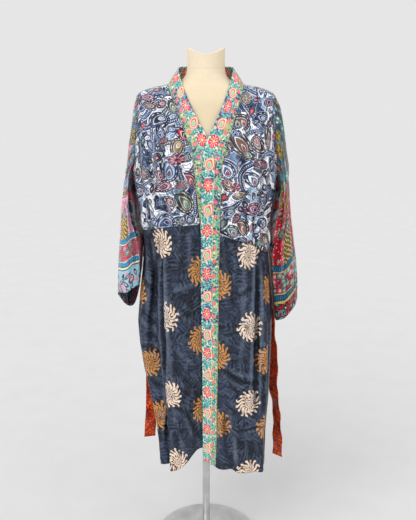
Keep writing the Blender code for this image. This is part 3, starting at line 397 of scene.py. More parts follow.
def ring(turn, drop, out=0.0, folded=True):
    """Points on the robe's outer face, moved out by a distance where one is given."""
    turn, drop = both(turn, drop)
    left, back = turn < 0.0, np.abs(turn) > 90.0
    width = side_size(left, drop)
    depth = np.where(back, robe_size("back", drop), robe_size("front", drop))
    power = np.where(back, robe_size("power_back", drop), side_size(left, drop, "power_"))
    s, c = sine_cosine(turn)
    x, y = rounded(s, power), -rounded(c, power)
    normal_x = np.sign(x) * np.abs(x) ** (power - 1.0) / width
    normal_y = np.sign(y) * np.abs(y) ** (power - 1.0) / depth
    length = np.hypot(normal_x, normal_y)
    moved = out - fold_depth(turn, drop) if folded else out
    return joined(x * width + normal_x / length * moved, y * depth + normal_y / length * moved,
                  NECK_SEAM_HEIGHT - drop)


print("hem ring:", np.round(ring(np.array([-90.0, 0.0, 90.0, 180.0]), 1.27)[:, :2], 3).tolist())

# %% [markdown]
# ## Where the fronts cross
# The viewer's right front lies over the left one. The neck band is sewn to both fronts along a slanting
# line, and the cloth falls back a little towards the crossing, which makes a shallow valley there.

# %% The crossing fronts and the seams
NECK_POINT_DROP, ARMHOLE_TOP, ARMHOLE_BOTTOM = 0.0465, 0.079, 0.362
ARMHOLE_FRONT, ARMHOLE_BACK = 0.06, 0.066
WAIST_DROP, HEM_DROP = 0.5, 1.28  # about where the waist seam and the hem lie
BAND_WIDTH, OVERLAP_RAISE, VALLEY_LEAD, UNDER_SINKS = 0.057, 0.0042, 0.045, 0.0012
CENTRE = curves("under_seam over_seam valley", (
    (0.0465, -0.1122, 0.1122, 0.0), (0.09, -0.0945, 0.099, 0.0), (0.14, -0.0755, 0.0835, 0.0),
    (0.19, -0.056, 0.068, 0.0), (0.228, -0.0415, 0.057, 0.001), (0.27, -0.0355, 0.047, 0.003),
    (0.37, -0.0255, 0.043, 0.006), (0.46, -0.0165, 0.041, 0.01), (0.56, -0.0125, 0.0395, 0.014),
    (0.68, -0.011, 0.0385, 0.019), (0.9, -0.01, 0.0365, 0.03), (1.16, -0.009, 0.0335, 0.035),
    (1.29, -0.008, 0.03, 0.042),
))
UNDER_EDGES = curves("waist hem", (  # across, the waist seam's drop, the hem's drop
    (-0.225, 0.486, 1.276), (-0.17, 0.47, 1.274), (-0.145, 0.463, 1.258), (-0.134, 0.46, 1.262),
    (-0.122, 0.457, 1.279), (-0.0955, 0.453, 1.268), (-0.0626, 0.449, 1.243), (-0.033, 0.447, 1.212),
    (-0.01, 0.447, 1.206), (0.05, 0.447, 1.204),
))
OVER_EDGES = curves("waist hem", (
    (-0.01, 0.478, 1.248), (0.024, 0.479, 1.258), (0.043, 0.48, 1.265), (0.081, 0.49, 1.259),
    (0.108, 0.498, 1.277), (0.165, 0.524, 1.28), (0.192, 0.548, 1.28), (0.225, 0.552, 1.28),
))
ROUND_EDGES = curves("waist hem", (  # turn, the waist seam's drop, the hem's drop
    (-180.0, 0.5, 1.282), (-120.0, 0.494, 1.28), (-90.0, 0.48, 1.276), (90.0, 0.548, 1.28),
    (120.0, 0.52, 1.281), (180.0, 0.5, 1.282),
))


def turn_at_x(x, drop):
    """The turn at which a front ring has reached this distance across."""
    x, drop = both(x, drop)
    share = np.clip(np.abs(x) / side_size(x < 0.0, drop), 0.0, 1.0)
    return np.sign(x) * np.degrees(np.arcsin(share ** (side_size(x < 0.0, drop, "power_") / 2.0)))


def across_at(turn, drop):
    """How far across a ring's front is at a turn."""
    left, s = np.asarray(turn) < 0.0, np.sin(np.radians(turn))
    return rounded(s, side_size(left, drop, "power_")) * side_size(left, drop)


def front(turn, drop, over):
    """Points on one of the two crossing fronts, the upper one lifted and the lower one falling back."""
    point = ring(turn, drop)
    x, drop = point[..., 0], NECK_SEAM_HEIGHT - point[..., 2]
    valley = CENTRE["valley"](drop)
    if over:
        seam = CENTRE["over_seam"](drop)
        point[..., 1] -= OVERLAP_RAISE * soft_step(0.13, 0.05, x) * soft_step(0.1, 0.16, drop)
        point[..., 1] += valley * soft_step(seam + VALLEY_LEAD, seam - BAND_WIDTH, x)
    else:
        hollow = soft_step(-0.09, -0.012, x) * soft_step(0.2, 0.3, drop)
        point[..., 1] += (valley * 1.12 + UNDER_SINKS) * hollow
    return point


def seam_turn(drop, over):
    """The turn where the neck band is sewn to a front."""
    return turn_at_x(CENTRE["over_seam" if over else "under_seam"](drop), drop)


def edge(name, turn, over):
    """The drop of the waist seam or the hem at a turn."""
    turn = np.asarray(turn, float)
    edges = OVER_EDGES if over else UNDER_EDGES
    beside = edges[name](across_at(turn, WAIST_DROP if name == "waist" else HEM_DROP))
    at_side = ROUND_EDGES[name](np.copysign(90.0, turn))
    in_front = mix(beside, at_side, soft_step(60.0, 90.0, np.abs(turn)))
    return np.where(np.abs(turn) > 90.0, ROUND_EDGES[name](turn), in_front)


def armhole_turn(drop, back):
    """The turn of the armhole's seam, an upright oval."""
    share = np.clip((drop - ARMHOLE_TOP) / (ARMHOLE_BOTTOM - ARMHOLE_TOP), 0.0, 1.0)
    bow = (ARMHOLE_BACK if back else ARMHOLE_FRONT) * np.sqrt(np.maximum(1.0 - (2.0 * share - 1.0) ** 2, 0.0))
    depth = robe_size("back" if back else "front", drop)
    power = robe_size("power_back" if back else "power_right", drop)
    reach = np.degrees(np.arcsin((bow / depth) ** (power / 2.0)))
    return 90.0 + reach if back else 90.0 - reach


SHOULDER_DROPS = np.linspace(0.03, ARMHOLE_TOP, 200)
SHOULDER_WIDTHS = robe_size("right", SHOULDER_DROPS)


def ridge_drop(x):
    """How low the shoulder line lies at a distance from the centre."""
    return np.interp(x, SHOULDER_WIDTHS, SHOULDER_DROPS)


print("the shoulder line runs from", *(round(float(ridge_drop(x)), 4) for x in (0.1122, 0.2)), "m down")

# %% [markdown]
# ## A cut of cloth
# Every piece starts as a flat grid from Blender's own grid operator. Its corners are carried to their
# places, the flat sizes are written as a UV map in metres, and a Solidify modifier gives the wall
# inwards, so that the outer face is exactly the drawn shape. The columns are spread evenly along the
# cloth, so that the print isn't stretched.

# %% From a flat grid to hanging cloth
CLOTH_WALL = 0.0009
FINE_SAMPLES = 360
made_pieces = {}


def even_columns(path, count, samples=90):
    """For each row, shares of its path that lie equally far apart along the cloth."""
    at = np.linspace(0.0, 1.0, samples + 1)
    steps = np.linalg.norm(np.diff(path(at[None, :]), axis=1), axis=2)
    walked = np.concatenate((np.zeros((len(steps), 1)), np.cumsum(steps, axis=1)), axis=1)
    return np.array([np.interp(np.linspace(0.0, row[-1], count + 1), row, at) for row in walked])


def walked_along(points, axis):
    """How far each point lies along its row or column of the cloth."""
    steps = np.linalg.norm(np.diff(points, axis=axis), axis=2)
    first = np.zeros_like(np.take(steps, [0], axis=axis))
    return np.concatenate((first, np.cumsum(steps, axis=axis)), axis=axis)


def normals_of(points):
    """The cloth's normals from the steps to the neighbouring rows and columns."""
    normal = np.cross(np.gradient(points, axis=1), np.gradient(points, axis=0))
    return unit(normal)


def outward_normals(points, inside):
    """The same, turned to point away from what the cloth hangs round."""
    normal = normals_of(points)
    away = points - inside
    away[..., 2] = 0.0
    return normal if np.sum(normal * away) > 0.0 else -normal


def cloth(name, points, flat, inside, wall=CLOTH_WALL, closed=False, fields=()):
    """A piece of cloth from its points, its flat sizes and named colour fields, one value a point."""
    rows, columns = points.shape[0] - 1, points.shape[1] - 1
    grid = bmesh.new()
    bmesh.ops.create_grid(grid, x_segments=columns, y_segments=rows, size=1.0)
    mesh = bpy.data.meshes.new(name)
    grid.to_mesh(mesh)
    grid.free()
    place = np.empty(len(mesh.vertices) * 3)
    mesh.vertices.foreach_get("co", place)
    place = place.reshape(-1, 3)
    column = np.rint((place[:, 0] + 1.0) / 2.0 * columns).astype(int)
    row = np.rint((place[:, 1] + 1.0) / 2.0 * rows).astype(int)
    mesh.vertices.foreach_set("co", points[row, column].ravel())
    corner = np.empty(len(mesh.loops), int)
    mesh.loops.foreach_get("vertex_index", corner)
    at_corner = flat[row[corner], column[corner]]
    mesh.uv_layers.new(name="cut").data.foreach_set("uv", at_corner.ravel())
    for field, values in fields:
        layer = mesh.attributes.new(field, "FLOAT", "POINT")
        layer.data.foreach_set("value", values[row, column].astype(np.float32))
    mesh.update()
    normal = np.empty(len(mesh.vertices) * 3)
    mesh.vertices.foreach_get("normal", normal)
    wanted = outward_normals(points, inside)[row, column]
    if np.sum(normal.reshape(-1, 3) * wanted) < 0.0:
        mesh.flip_normals()
    if closed:
        seam = bmesh.new()
        seam.from_mesh(mesh)
        bmesh.ops.remove_doubles(seam, verts=seam.verts, dist=1e-5)
        seam.to_mesh(mesh)
        seam.free()
    mesh.shade_smooth()
    piece = bpy.data.objects.new(name, mesh)
    bpy.context.scene.collection.objects.link(piece)
    thick = piece.modifiers.new("wall", "SOLIDIFY")
    thick.thickness = wall
    thick.offset = -1.0
    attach(piece, "root")
    made_pieces[name] = (piece, points, flat)
    return piece


def cut_area(flat):
    """The flat area of a cut, worked out from the corners of its grid."""
    across, down = flat[1:, 1:] - flat[:-1, :-1], flat[1:, :-1] - flat[:-1, 1:]
    return float(np.abs(across[..., 0] * down[..., 1] - across[..., 1] * down[..., 0]).sum() / 2.0)


def declare(piece, held, rests_on, *nodes, slot):
    """Says what the piece is cut to and hides the solids that it stands for; what it hangs on is not used."""
    flat = made_pieces[piece.name][2]
    size = [round(float(np.ptp(flat[..., i])), 4) for i in (0, 1)]
    area = min(cut_area(flat), size[0] * size[1])
    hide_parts(*nodes)
    print(piece.name, "cut", size, "m,", round(area, 3), "square metres")


# %% [markdown]
# ## Creases
# Silk that hangs shows long folds, short tucks at its seams and small wrinkles between them. The main
# ones are given in tables: each row of a table is a soft trough or ridge on a bowed line from one point
# to another on the flat cloth. It is deepest past its middle and fades out at both ends. The small
# wrinkles are a sum of waves whose direction wanders over the cloth.

# %% Creases on the flat cloth
def crease_field(flat, rows):
    """Height of the cloth from creases: start u v, end u v, bow, width, height (a trough is below 0)."""
    height = np.zeros(flat.shape[:2])
    for start_u, start_v, end_u, end_v, bow, width, high in rows:
        start, end = np.array((start_u, start_v)), np.array((end_u, end_v))
        along, length = end - start, np.hypot(end_u - start_u, end_v - start_v)
        along = along / length
        away = flat - start
        share = (away @ along) / length
        inner = np.clip(share, 0.0, 1.0)
        offset = away @ np.array((-along[1], along[0])) - bow * 4.0 * inner * (1.0 - inner)
        beyond = (share - inner) * length
        taper = np.sin(np.pi * np.clip(inner, 0.02, 0.98) ** 0.8) ** 0.6
        wide = width * (0.75 + 0.5 * inner)
        shape = np.exp(-(offset / wide) ** 2 - (beyond / wide) ** 2)
        lip = 0.35 * np.exp(-((np.abs(offset) - 1.9 * wide) / wide) ** 2 - (beyond / wide) ** 2)
        height += high * taper * (shape - lip)
    return height


def wrinkles(flat, seed, spacing, high, leaning=0.0):
    """Small uneven wrinkles, about this far apart, leaning from upright by an angle."""
    rng = np.random.default_rng(seed)
    u, v = flat[..., 0], flat[..., 1]
    height = np.zeros(u.shape)
    for _ in range(9):
        angle = math.radians(leaning) + rng.normal(0.0, 0.55)
        wave = 2.0 * math.pi / (spacing * rng.uniform(0.7, 1.9))
        bend = rng.uniform(0.15, 0.5) * spacing
        drift = bend * np.sin(v / (spacing * rng.uniform(2.0, 4.0)) + rng.uniform(0.0, 6.0))
        phase = (u + drift) * math.cos(angle) + (v + 0.6 * drift) * math.sin(angle)
        patch = 0.5 + 0.5 * np.sin(u / (spacing * rng.uniform(1.5, 3.0)) + rng.uniform(0.0, 6.0)) * np.sin(
            v / (spacing * rng.uniform(2.0, 4.5)) + rng.uniform(0.0, 6.0))
        height += patch ** 2 * (1.0 - np.abs(np.sin(phase * wave / 2.0 + rng.uniform(0.0, 6.0)))) ** 2
    return high * (height / 3.0 - 0.35)


def hollow_or_ridge(height, spacing):
    """From -1 in a trough to 1 on a ridge: painted shade in the troughs, and on the ridges wear with a
    painted highlight.
    """
    smooth = height.copy()
    for _ in range(spacing):
        padded = np.pad(smooth, 1, mode="edge")
        smooth = (padded[:-2, 1:-1] + padded[2:, 1:-1] + padded[1:-1, :-2] + padded[1:-1, 2:]) / 4.0
    rise = height - smooth
    return np.clip(rise / (2.0 * rise.std() + 1e-9), -1.0, 1.0)


print("a crease fades at its ends; wrinkles are added in patches")

# %% [markdown]
# ## Skirt fronts
# Each skirt front is a panel between the neck band's seam and the side seam, sewn to the bodice at the
# waist. It hangs in long uneven folds from the waist to the hem. The grid's columns run down the cloth
# and its rows follow the slanting waist seam at the top and the wavy hem at the bottom.

# %% Skirt fronts
BODY = np.array((0.0, 0.0, 0.0))
SEAM_HOLDS, FAR = 0.009, 9.0


def seam_distance(points, top=True, bottom=True, left=True, right=True):
    """How far each point is from the nearest sewn edge of its piece."""
    across, down = walked_along(points, 1), walked_along(points, 0)
    gaps = (across, across[:, -1:] - across, down, down[-1:] - down)
    far = np.full(across.shape, FAR)
    for used, gap in zip((left, right, top, bottom), gaps):
        if used:
            far = np.minimum(far, gap)
    return far


def front_skirt_points(over, rows=140, columns=54):
    sign = 1.0 if over else -1.0
    down = down_shares(rows)
    start = seam_turn(mix(edge("waist", sign * 0.5, over), edge("hem", sign * 0.5, over), down), over)

    def path(across):
        turn = mix(start, sign * 90.0, across)
        return front(turn, mix(edge("waist", turn, over), edge("hem", turn, over), down), over)

    points = path(even_columns(path, columns))
    flat = joined(points[:, :1, 0] + sign * walked_along(points, 1),
                  NECK_SEAM_HEIGHT - points[:1, :, 2] + walked_along(points, 0))
    return points, flat


def hang(name, points, flat, height, held, rests_on, slot, bottom=False, inside=BODY, closed=False,
         reach=14):
    """The bottom edge is sewn or free; a closed piece is a tube; troughs and ridges are found over this many
    cells, and the print gets painted shade in troughs and a worn, painted highlight on ridges."""
    seams = seam_distance(points, bottom=bottom)
    stirred = height * (1.0 - np.exp(-(seams / SEAM_HOLDS) ** 2))
    points = points + outward_normals(points, inside) * stirred[..., None]
    if closed:
        points[:, -1] = points[:, 0]
    # The ridge field drives painted highlight on the ridges and painted shade in the troughs.
    fields = (("seam", seams), ("ridge", hollow_or_ridge(height, reach)))
    made = cloth("robe_" + name, points, flat, inside, closed=closed, fields=fields)
    declare(made, held, [rests_on], name, slot=slot)


SKIRT_LEFT_CREASES = (  # start u v, end u v, bow, width, height, in metres on the flat cloth
    (-0.15, 0.475, -0.168, 0.7, 0.004, 0.008, -0.005), (-0.205, 0.5, -0.19, 0.76, -0.006, 0.01, -0.0055),
    (-0.06, 0.452, -0.072, 0.64, 0.003, 0.009, -0.003), (-0.09, 0.7, -0.04, 0.742, 0.006, 0.008, -0.0035),
    (-0.11, 0.66, -0.02, 0.64, -0.008, 0.011, 0.003), (-0.24, 0.62, -0.15, 0.69, 0.008, 0.009, -0.0035),
    (-0.25, 0.74, -0.17, 0.815, 0.01, 0.01, 0.0034), (-0.255, 0.84, -0.16, 0.88, 0.006, 0.008, -0.004),
    (-0.12, 0.82, -0.045, 0.905, 0.007, 0.011, 0.003), (-0.105, 0.93, -0.018, 0.99, 0.006, 0.01, -0.0026),
    (-0.13, 1.035, -0.05, 1.08, 0.004, 0.009, -0.0032), (-0.07, 1.08, -0.02, 1.17, 0.003, 0.011, -0.005),
    (-0.125, 1.12, -0.11, 1.235, 0.003, 0.01, -0.0045), (-0.23, 0.96, -0.15, 1.01, 0.006, 0.009, -0.0034),
    (-0.215, 1.06, -0.14, 1.13, 0.006, 0.011, 0.003), (-0.035, 0.47, -0.03, 0.6, 0.002, 0.007, -0.0022),
    (-0.141, 0.54, -0.143, 0.9, 0.002, 0.006, -0.0085), (-0.139, 0.8, -0.19, 1.21, -0.004, 0.006, -0.0085),
    (-0.128, 0.56, -0.122, 1.18, 0.002, 0.01, 0.0034), (-0.17, 0.52, -0.215, 0.9, 0.006, 0.008, -0.005),
)
SKIRT_RIGHT_CREASES = (
    (0.07, 0.5, 0.085, 0.72, 0.004, 0.01, -0.0035), (0.118, 0.51, 0.112, 0.98, -0.004, 0.016, 0.005),
    (0.175, 0.54, 0.16, 0.82, 0.004, 0.009, -0.0048), (0.052, 0.905, 0.165, 0.965, 0.01, 0.0085, -0.0058),
    (0.165, 0.64, 0.06, 0.7, 0.008, 0.009, -0.003), (0.07, 0.76, 0.17, 0.79, -0.006, 0.008, -0.003),
    (0.15, 0.83, 0.2, 0.85, 0.002, 0.006, -0.0026), (0.06, 1.02, 0.12, 1.07, 0.006, 0.01, -0.0034),
    (0.104, 1.123, 0.218, 1.118, 0.002, 0.0042, -0.0075), (0.06, 1.06, 0.07, 1.24, 0.004, 0.012, -0.006),
    (0.098, 1.13, 0.11, 1.26, 0.003, 0.011, 0.0055), (0.19, 0.9, 0.2, 1.1, 0.003, 0.007, -0.004),
    (0.09, 0.85, 0.06, 0.905, 0.003, 0.009, 0.003), (0.15, 1.15, 0.16, 1.27, -0.003, 0.012, -0.0034),
    (0.166, 0.52, 0.168, 1.08, 0.002, 0.007, -0.008), (0.15, 0.6, 0.15, 1.1, 0.002, 0.01, 0.0036),
)
for side, over, creases in (("left", False, SKIRT_LEFT_CREASES), ("right", True, SKIRT_RIGHT_CREASES)):
    points, flat = front_skirt_points(over)
    height = crease_field(flat, creases) + wrinkles(flat, 5 + over, 0.034, 0.0024, 4.0)
    height += wrinkles(flat, 9 + over, 0.012, 0.0007)
    hang("front_skirt_" + side, points, flat, height, "hung", "robe_front_bodice_" + side, "dark_silk")

# %% [markdown]
# ## Skirt back
# One wide panel from side seam to side seam. It is fuller than the fronts, so it has deeper folds all
# the way round. The picture doesn't show it, and its creases follow those of the fronts in size.

# %% Skirt back
def round_the_back(share):
    """Turns from the viewer's left side seam, round the back, to the right side seam."""
    turn = -90.0 - 180.0 * share
    return np.where(turn > -180.0, turn, turn + 360.0)


def scattered_creases(seed, low, high, count, lean, widths=(0.007, 0.012), deep=0.004):
    """Creases like those listed in the tables, for the sides that the picture doesn't show."""
    rng = np.random.default_rng(seed)
    rows = []
    for step in range(count):
        u = mix(low[0], high[0], (step + rng.uniform(0.1, 0.9)) / count)
        v = rng.uniform(low[1], mix(low[1], high[1], 0.8))
        long, angle = rng.uniform(0.06, 0.24), math.radians(rng.normal(lean, 24.0))
        end = (u + long * math.sin(angle), min(v + long * math.cos(angle), high[1]))
        bow, width = rng.normal(0.0, 0.006), rng.uniform(*widths)
        rows.append((u, v, *end, bow, width, rng.choice((-1.0, -1.0, 1.0)) * rng.uniform(0.6, 1.2) * deep))
    return rows


BELT_WALL, BELT_WIDTH, BELT_DROP = 0.0018, 0.04, 0.535
BELT_HOLD = 0.0004


def under_belt(height, points):
    """The belt holds the back down, so no crease stands out far under it."""
    from_belt = np.abs(NECK_SEAM_HEIGHT - points[..., 2] - BELT_DROP)
    return mix(height, np.minimum(height, BELT_HOLD), 1.0 - soft_step(0.024, 0.04, from_belt))


rows, columns = 140, 124
down = down_shares(rows)


def back_skirt_path(share):
    turn = round_the_back(share)
    return ring(turn, mix(edge("waist", turn, True), edge("hem", turn, True), down))


points = back_skirt_path(even_columns(
    lambda share: ring(round_the_back(share), mix(WAIST_DROP, HEM_DROP, down)), columns))
across = walked_along(points, 1)
flat = joined(across - across[:, columns // 2, None],
              NECK_SEAM_HEIGHT - points[:1, :, 2] + walked_along(points, 0))
height = crease_field(flat, scattered_creases(31, (-0.3, 0.5), (0.3, 1.27), 34, 6.0))
height += wrinkles(flat, 12, 0.036, 0.0026, 4.0) + wrinkles(flat, 13, 0.012, 0.0007)
hang("back_skirt", points, flat, under_belt(height, points), "hung", "robe_back_bodice", "dark_silk")

# %% [markdown]
# ## Bodice fronts
# Each bodice front runs from the shoulder line down to the waist, between the neck band's seam and the
# armhole. On the shoulder it rests on the form, and from there it falls free and blouses a little over
# the waist seam.

# %% Bodice fronts
NECK_X, TIP_X = robe_size("right", NECK_POINT_DROP), robe_size("right", ARMHOLE_TOP)


def shoulder_drop(share, start, outward):
    """The drop of a row above the underarm, for a column this far towards the armhole."""
    beside = mix(ARMHOLE_TOP, ARMHOLE_BOTTOM, (1.0 - np.cos(math.pi * share)) / 2.0)
    return mix(mix(start, ARMHOLE_BOTTOM, share * share), beside, outward ** 5)


def front_bodice_points(over, upper=104, lower=38, columns=76):
    sign = 1.0 if over else -1.0
    high, low = down_shares(upper), down_shares(lower, 1)
    guess = seam_turn(mix(ARMHOLE_BOTTOM, edge("waist", sign * 0.5, over), low), over)

    def path(across):
        above, below = (across[:upper + 1], across[upper + 1:]) if len(across) > 1 else (across, across)
        start = ridge_drop(mix(NECK_X, TIP_X, above))
        drop = shoulder_drop(high, start, above)
        turn = mix(seam_turn(drop, over), sign * armhole_turn(drop, False), above)
        top = front(turn, drop, over)
        top[0] = ring(sign * 90.0, start[0])
        turn = mix(guess, sign * 90.0, below)
        return np.concatenate((top, front(turn, mix(ARMHOLE_BOTTOM, edge("waist", turn, over), low), over)))

    points = path(even_columns(path, columns))
    walked = walked_along(points, 0)
    flat = joined(points[:, :1, 0] + sign * walked_along(points, 1), ARMHOLE_BOTTOM + walked - walked[upper])
    return points, flat


BODICE_LEFT_CREASES = (
    (-0.11, 0.13, -0.128, 0.33, 0.006, 0.011, -0.0045), (-0.15, 0.11, -0.14, 0.3, -0.008, 0.01, -0.004),
    (-0.085, 0.2, -0.105, 0.42, 0.006, 0.012, 0.0045), (-0.17, 0.24, -0.13, 0.42, 0.01, 0.011, -0.0055),
    (-0.06, 0.33, -0.085, 0.455, 0.004, 0.008, -0.0038), (-0.12, 0.38, -0.118, 0.462, 0.002, 0.0075, -0.0042),
    (-0.15, 0.39, -0.16, 0.466, 0.002, 0.008, 0.004), (-0.18, 0.38, -0.172, 0.47, 0.002, 0.008, -0.004),
    (-0.1, 0.09, -0.15, 0.12, 0.004, 0.009, -0.0028), (-0.035, 0.3, -0.06, 0.45, 0.003, 0.008, -0.0026),
    (-0.19, 0.3, -0.12, 0.345, 0.006, 0.009, -0.0032), (-0.095, 0.425, -0.098, 0.462, 0.001, 0.006, -0.0034),
)
BODICE_RIGHT_CREASES = (
    (0.13, 0.11, 0.12, 0.31, 0.008, 0.011, -0.0042), (0.16, 0.13, 0.15, 0.33, 0.006, 0.01, 0.004),
    (0.1, 0.2, 0.108, 0.43, -0.006, 0.012, -0.0045), (0.175, 0.24, 0.15, 0.44, -0.008, 0.011, -0.0055),
    (0.07, 0.31, 0.08, 0.49, 0.004, 0.009, 0.0038), (0.125, 0.4, 0.122, 0.5, 0.002, 0.008, -0.0042),
    (0.15, 0.42, 0.16, 0.52, 0.002, 0.008, -0.004), (0.185, 0.4, 0.182, 0.53, 0.002, 0.008, 0.004),
    (0.1, 0.09, 0.15, 0.115, -0.004, 0.009, -0.0028), (0.06, 0.4, 0.066, 0.48, 0.002, 0.007, -0.003),
    (0.195, 0.3, 0.13, 0.35, 0.006, 0.009, -0.0032), (0.098, 0.44, 0.1, 0.492, 0.001, 0.006, -0.0032),
)


def blouse(points, high=0.006):
    """The slack that hangs a little over the waist seam."""
    walked = walked_along(points, 0)
    return high * np.exp(-((walked[-1:] - walked - 0.022) / 0.02) ** 2)


for side, over, creases in (("left", False, BODICE_LEFT_CREASES), ("right", True, BODICE_RIGHT_CREASES)):
    points, flat = front_bodice_points(over)
    height = crease_field(flat, creases) + wrinkles(flat, 21 + over, 0.03, 0.0022, 3.0)
    height += wrinkles(flat, 25 + over, 0.011, 0.0006)
    height *= 0.35 + 0.65 * soft_step(0.07, 0.16, flat[..., 1])
    height += blouse(points) * soft_step(0.0, 0.05, np.abs(flat[..., 0] - flat[:, :1, 0]))
    hang("front_bodice_" + side, points, flat, height, "draped", "form_torso", "paisley_silk", bottom=True)

# %% [markdown]
# ## Bodice back
# One panel across both shoulders, cut out round the neck. Its top edge follows the shoulder lines and the
# neck, and its sides follow the armholes and then the side seams.

# %% Bodice back
CHEST_DROP, BLOUSED_DROP = 0.3, 0.43  # drops at which the columns are spread evenly


def back_bodice_points(upper=92, lower=34, shoulder=36, neck=72):
    columns = 2 * shoulder + neck
    neck_turns = round_the_back(even_columns(
        lambda s: ring(round_the_back(s), NECK_POINT_DROP), neck, FINE_SAMPLES)[0])
    neck_x = np.abs(ring(neck_turns, NECK_POINT_DROP)[:, 0])
    outer_x = mix(TIP_X, NECK_X, np.arange(shoulder) / shoulder)
    top_x = np.concatenate((outer_x, neck_x, outer_x[::-1]))
    outward = np.concatenate((1.0 - np.arange(shoulder) / shoulder, np.zeros(neck + 1),
                              (np.arange(shoulder) + 1.0) / shoulder))
    start = np.where(outward > 0.0, ridge_drop(top_x), NECK_POINT_DROP)
    sign = np.where(np.arange(columns + 1) < columns / 2, -1.0, 1.0)
    share = down_shares(upper)
    drop = shoulder_drop(share, start, outward)
    width, power = side_size(sign < 0.0, drop), robe_size("power_back", drop)
    armhole = armhole_turn(drop, True)
    armhole_x = width * np.sin(np.radians(armhole)) ** (2.0 / power)
    even_turns = round_the_back(even_columns(
        lambda s: ring(round_the_back(s), CHEST_DROP, folded=False), columns, FINE_SAMPLES)[0])
    even_x = np.abs(ring(even_turns, CHEST_DROP, folded=False)[:, 0]) / side_size(sign < 0.0, CHEST_DROP)
    reached = np.where(drop > ARMHOLE_TOP, armhole_x / TIP_X, 1.0)
    x = mix(top_x * reached, even_x * armhole_x, soft_step(0.0, 1.0, share))
    turn = 180.0 - np.degrees(np.arcsin(np.clip(x / width, 0.0, 1.0) ** (power / 2.0)))
    turn = np.maximum(turn, armhole)
    turn[:, [0, -1]] = armhole[:, [0, -1]]
    top = ring(sign * turn, drop)
    at_ridge = outward > 0.0
    top[0, at_ridge] = ring(sign[at_ridge] * 90.0, start[at_ridge])
    top[0, [shoulder, columns - shoulder], 1] = 0.0
    low = down_shares(lower, 1)
    low_turns = round_the_back(even_columns(
        lambda s: ring(round_the_back(s), BLOUSED_DROP), columns, FINE_SAMPLES))
    low_part = ring(low_turns, mix(ARMHOLE_BOTTOM, edge("waist", low_turns, True), low))
    points = np.concatenate((top, low_part))
    walked, across = walked_along(points, 0), walked_along(points, 1)
    flat = joined(across - across[:, columns // 2, None], ARMHOLE_BOTTOM + walked - walked[upper])
    return points, flat


points, flat = back_bodice_points()
height = crease_field(flat, scattered_creases(41, (-0.2, 0.14), (0.2, 0.5), 22, 0.0))
height += wrinkles(flat, 33, 0.03, 0.0022, 3.0) + wrinkles(flat, 34, 0.011, 0.0006)
height *= 0.3 + 0.7 * soft_step(0.09, 0.2, flat[..., 1])
height = under_belt(height + blouse(points, 0.004), points)
hang("back_bodice", points, flat, height, "draped", "form_torso", "paisley_silk", bottom=True)

# %% [markdown]
# ## Sleeves
# A sleeve is a tube sewn into the oval armhole. It hangs empty, so it is flat from front to back near the
# shoulder and opens towards the cuff. Four guide lines run down it, and an oval is drawn through them at
# every height. The grid is rolled into a tube and its two long edges are merged under the arm.

# %% Guide lines of the sleeves
SLEEVE_MIDDLE_Y, SLEEVE_TO_BODY = 0.012, 0.006
SLEEVE_NAMES = "outer_x outer_drop inner_x inner_drop front_x front_y front_drop back_x back_y back_drop"
SLEEVE_RIGHT = curves(SLEEVE_NAMES, (
    (0.0, 0.208, 0.079, 0.2128, 0.362, 0.21, -0.06, 0.2205, 0.208, 0.066, 0.2205),
    (0.08, 0.225, 0.116, 0.217, 0.371, 0.221, -0.067, 0.245, 0.22, 0.076, 0.248),
    (0.2, 0.236, 0.18, 0.2205, 0.395, 0.231, -0.074, 0.29, 0.231, 0.086, 0.295),
    (0.32, 0.246, 0.255, 0.223, 0.428, 0.237, -0.079, 0.345, 0.238, 0.094, 0.35),
    (0.44, 0.2545, 0.335, 0.225, 0.468, 0.241, -0.082, 0.408, 0.243, 0.1, 0.41),
    (0.56, 0.264, 0.425, 0.2258, 0.52, 0.245, -0.083, 0.478, 0.247, 0.103, 0.475),
    (0.72, 0.2805, 0.545, 0.2262, 0.61, 0.253, -0.082, 0.574, 0.254, 0.105, 0.57),
    (0.86, 0.29, 0.636, 0.227, 0.7, 0.259, -0.08, 0.658, 0.26, 0.106, 0.66),
    (1.0, 0.295, 0.712, 0.228, 0.788, 0.26, -0.078, 0.74, 0.262, 0.106, 0.74),
))
SLEEVE_LEFT = curves(SLEEVE_NAMES, (
    (0.0, 0.208, 0.079, 0.2158, 0.362, 0.212, -0.06, 0.2205, 0.21, 0.066, 0.2205),
    (0.08, 0.218, 0.116, 0.22, 0.371, 0.223, -0.067, 0.245, 0.222, 0.076, 0.248),
    (0.2, 0.225, 0.18, 0.2235, 0.392, 0.23, -0.074, 0.285, 0.231, 0.086, 0.295),
    (0.32, 0.233, 0.25, 0.225, 0.42, 0.235, -0.079, 0.335, 0.237, 0.094, 0.35),
    (0.44, 0.2465, 0.325, 0.225, 0.452, 0.24, -0.082, 0.388, 0.242, 0.1, 0.41),
    (0.56, 0.262, 0.41, 0.2235, 0.49, 0.244, -0.083, 0.445, 0.247, 0.103, 0.48),
    (0.72, 0.2735, 0.52, 0.219, 0.548, 0.245, -0.081, 0.525, 0.252, 0.105, 0.58),
    (0.86, 0.2815, 0.614, 0.2175, 0.598, 0.244, -0.077, 0.598, 0.256, 0.105, 0.68),
    (1.0, 0.286, 0.704, 0.216, 0.668, 0.243, -0.072, 0.672, 0.25, 0.104, 0.774),
))
SLEEVE_FOLDS = (  # degrees round, from this share down, depth inwards, spread in degrees
    (20.0, 0.2, 0.006, 16.0), (60.0, 0.35, 0.005, 14.0), (132.0, 0.25, 0.007, 15.0),
    (205.0, 0.3, 0.008, 16.0), (300.0, 0.25, 0.007, 15.0), (338.0, 0.4, 0.004, 12.0),
)


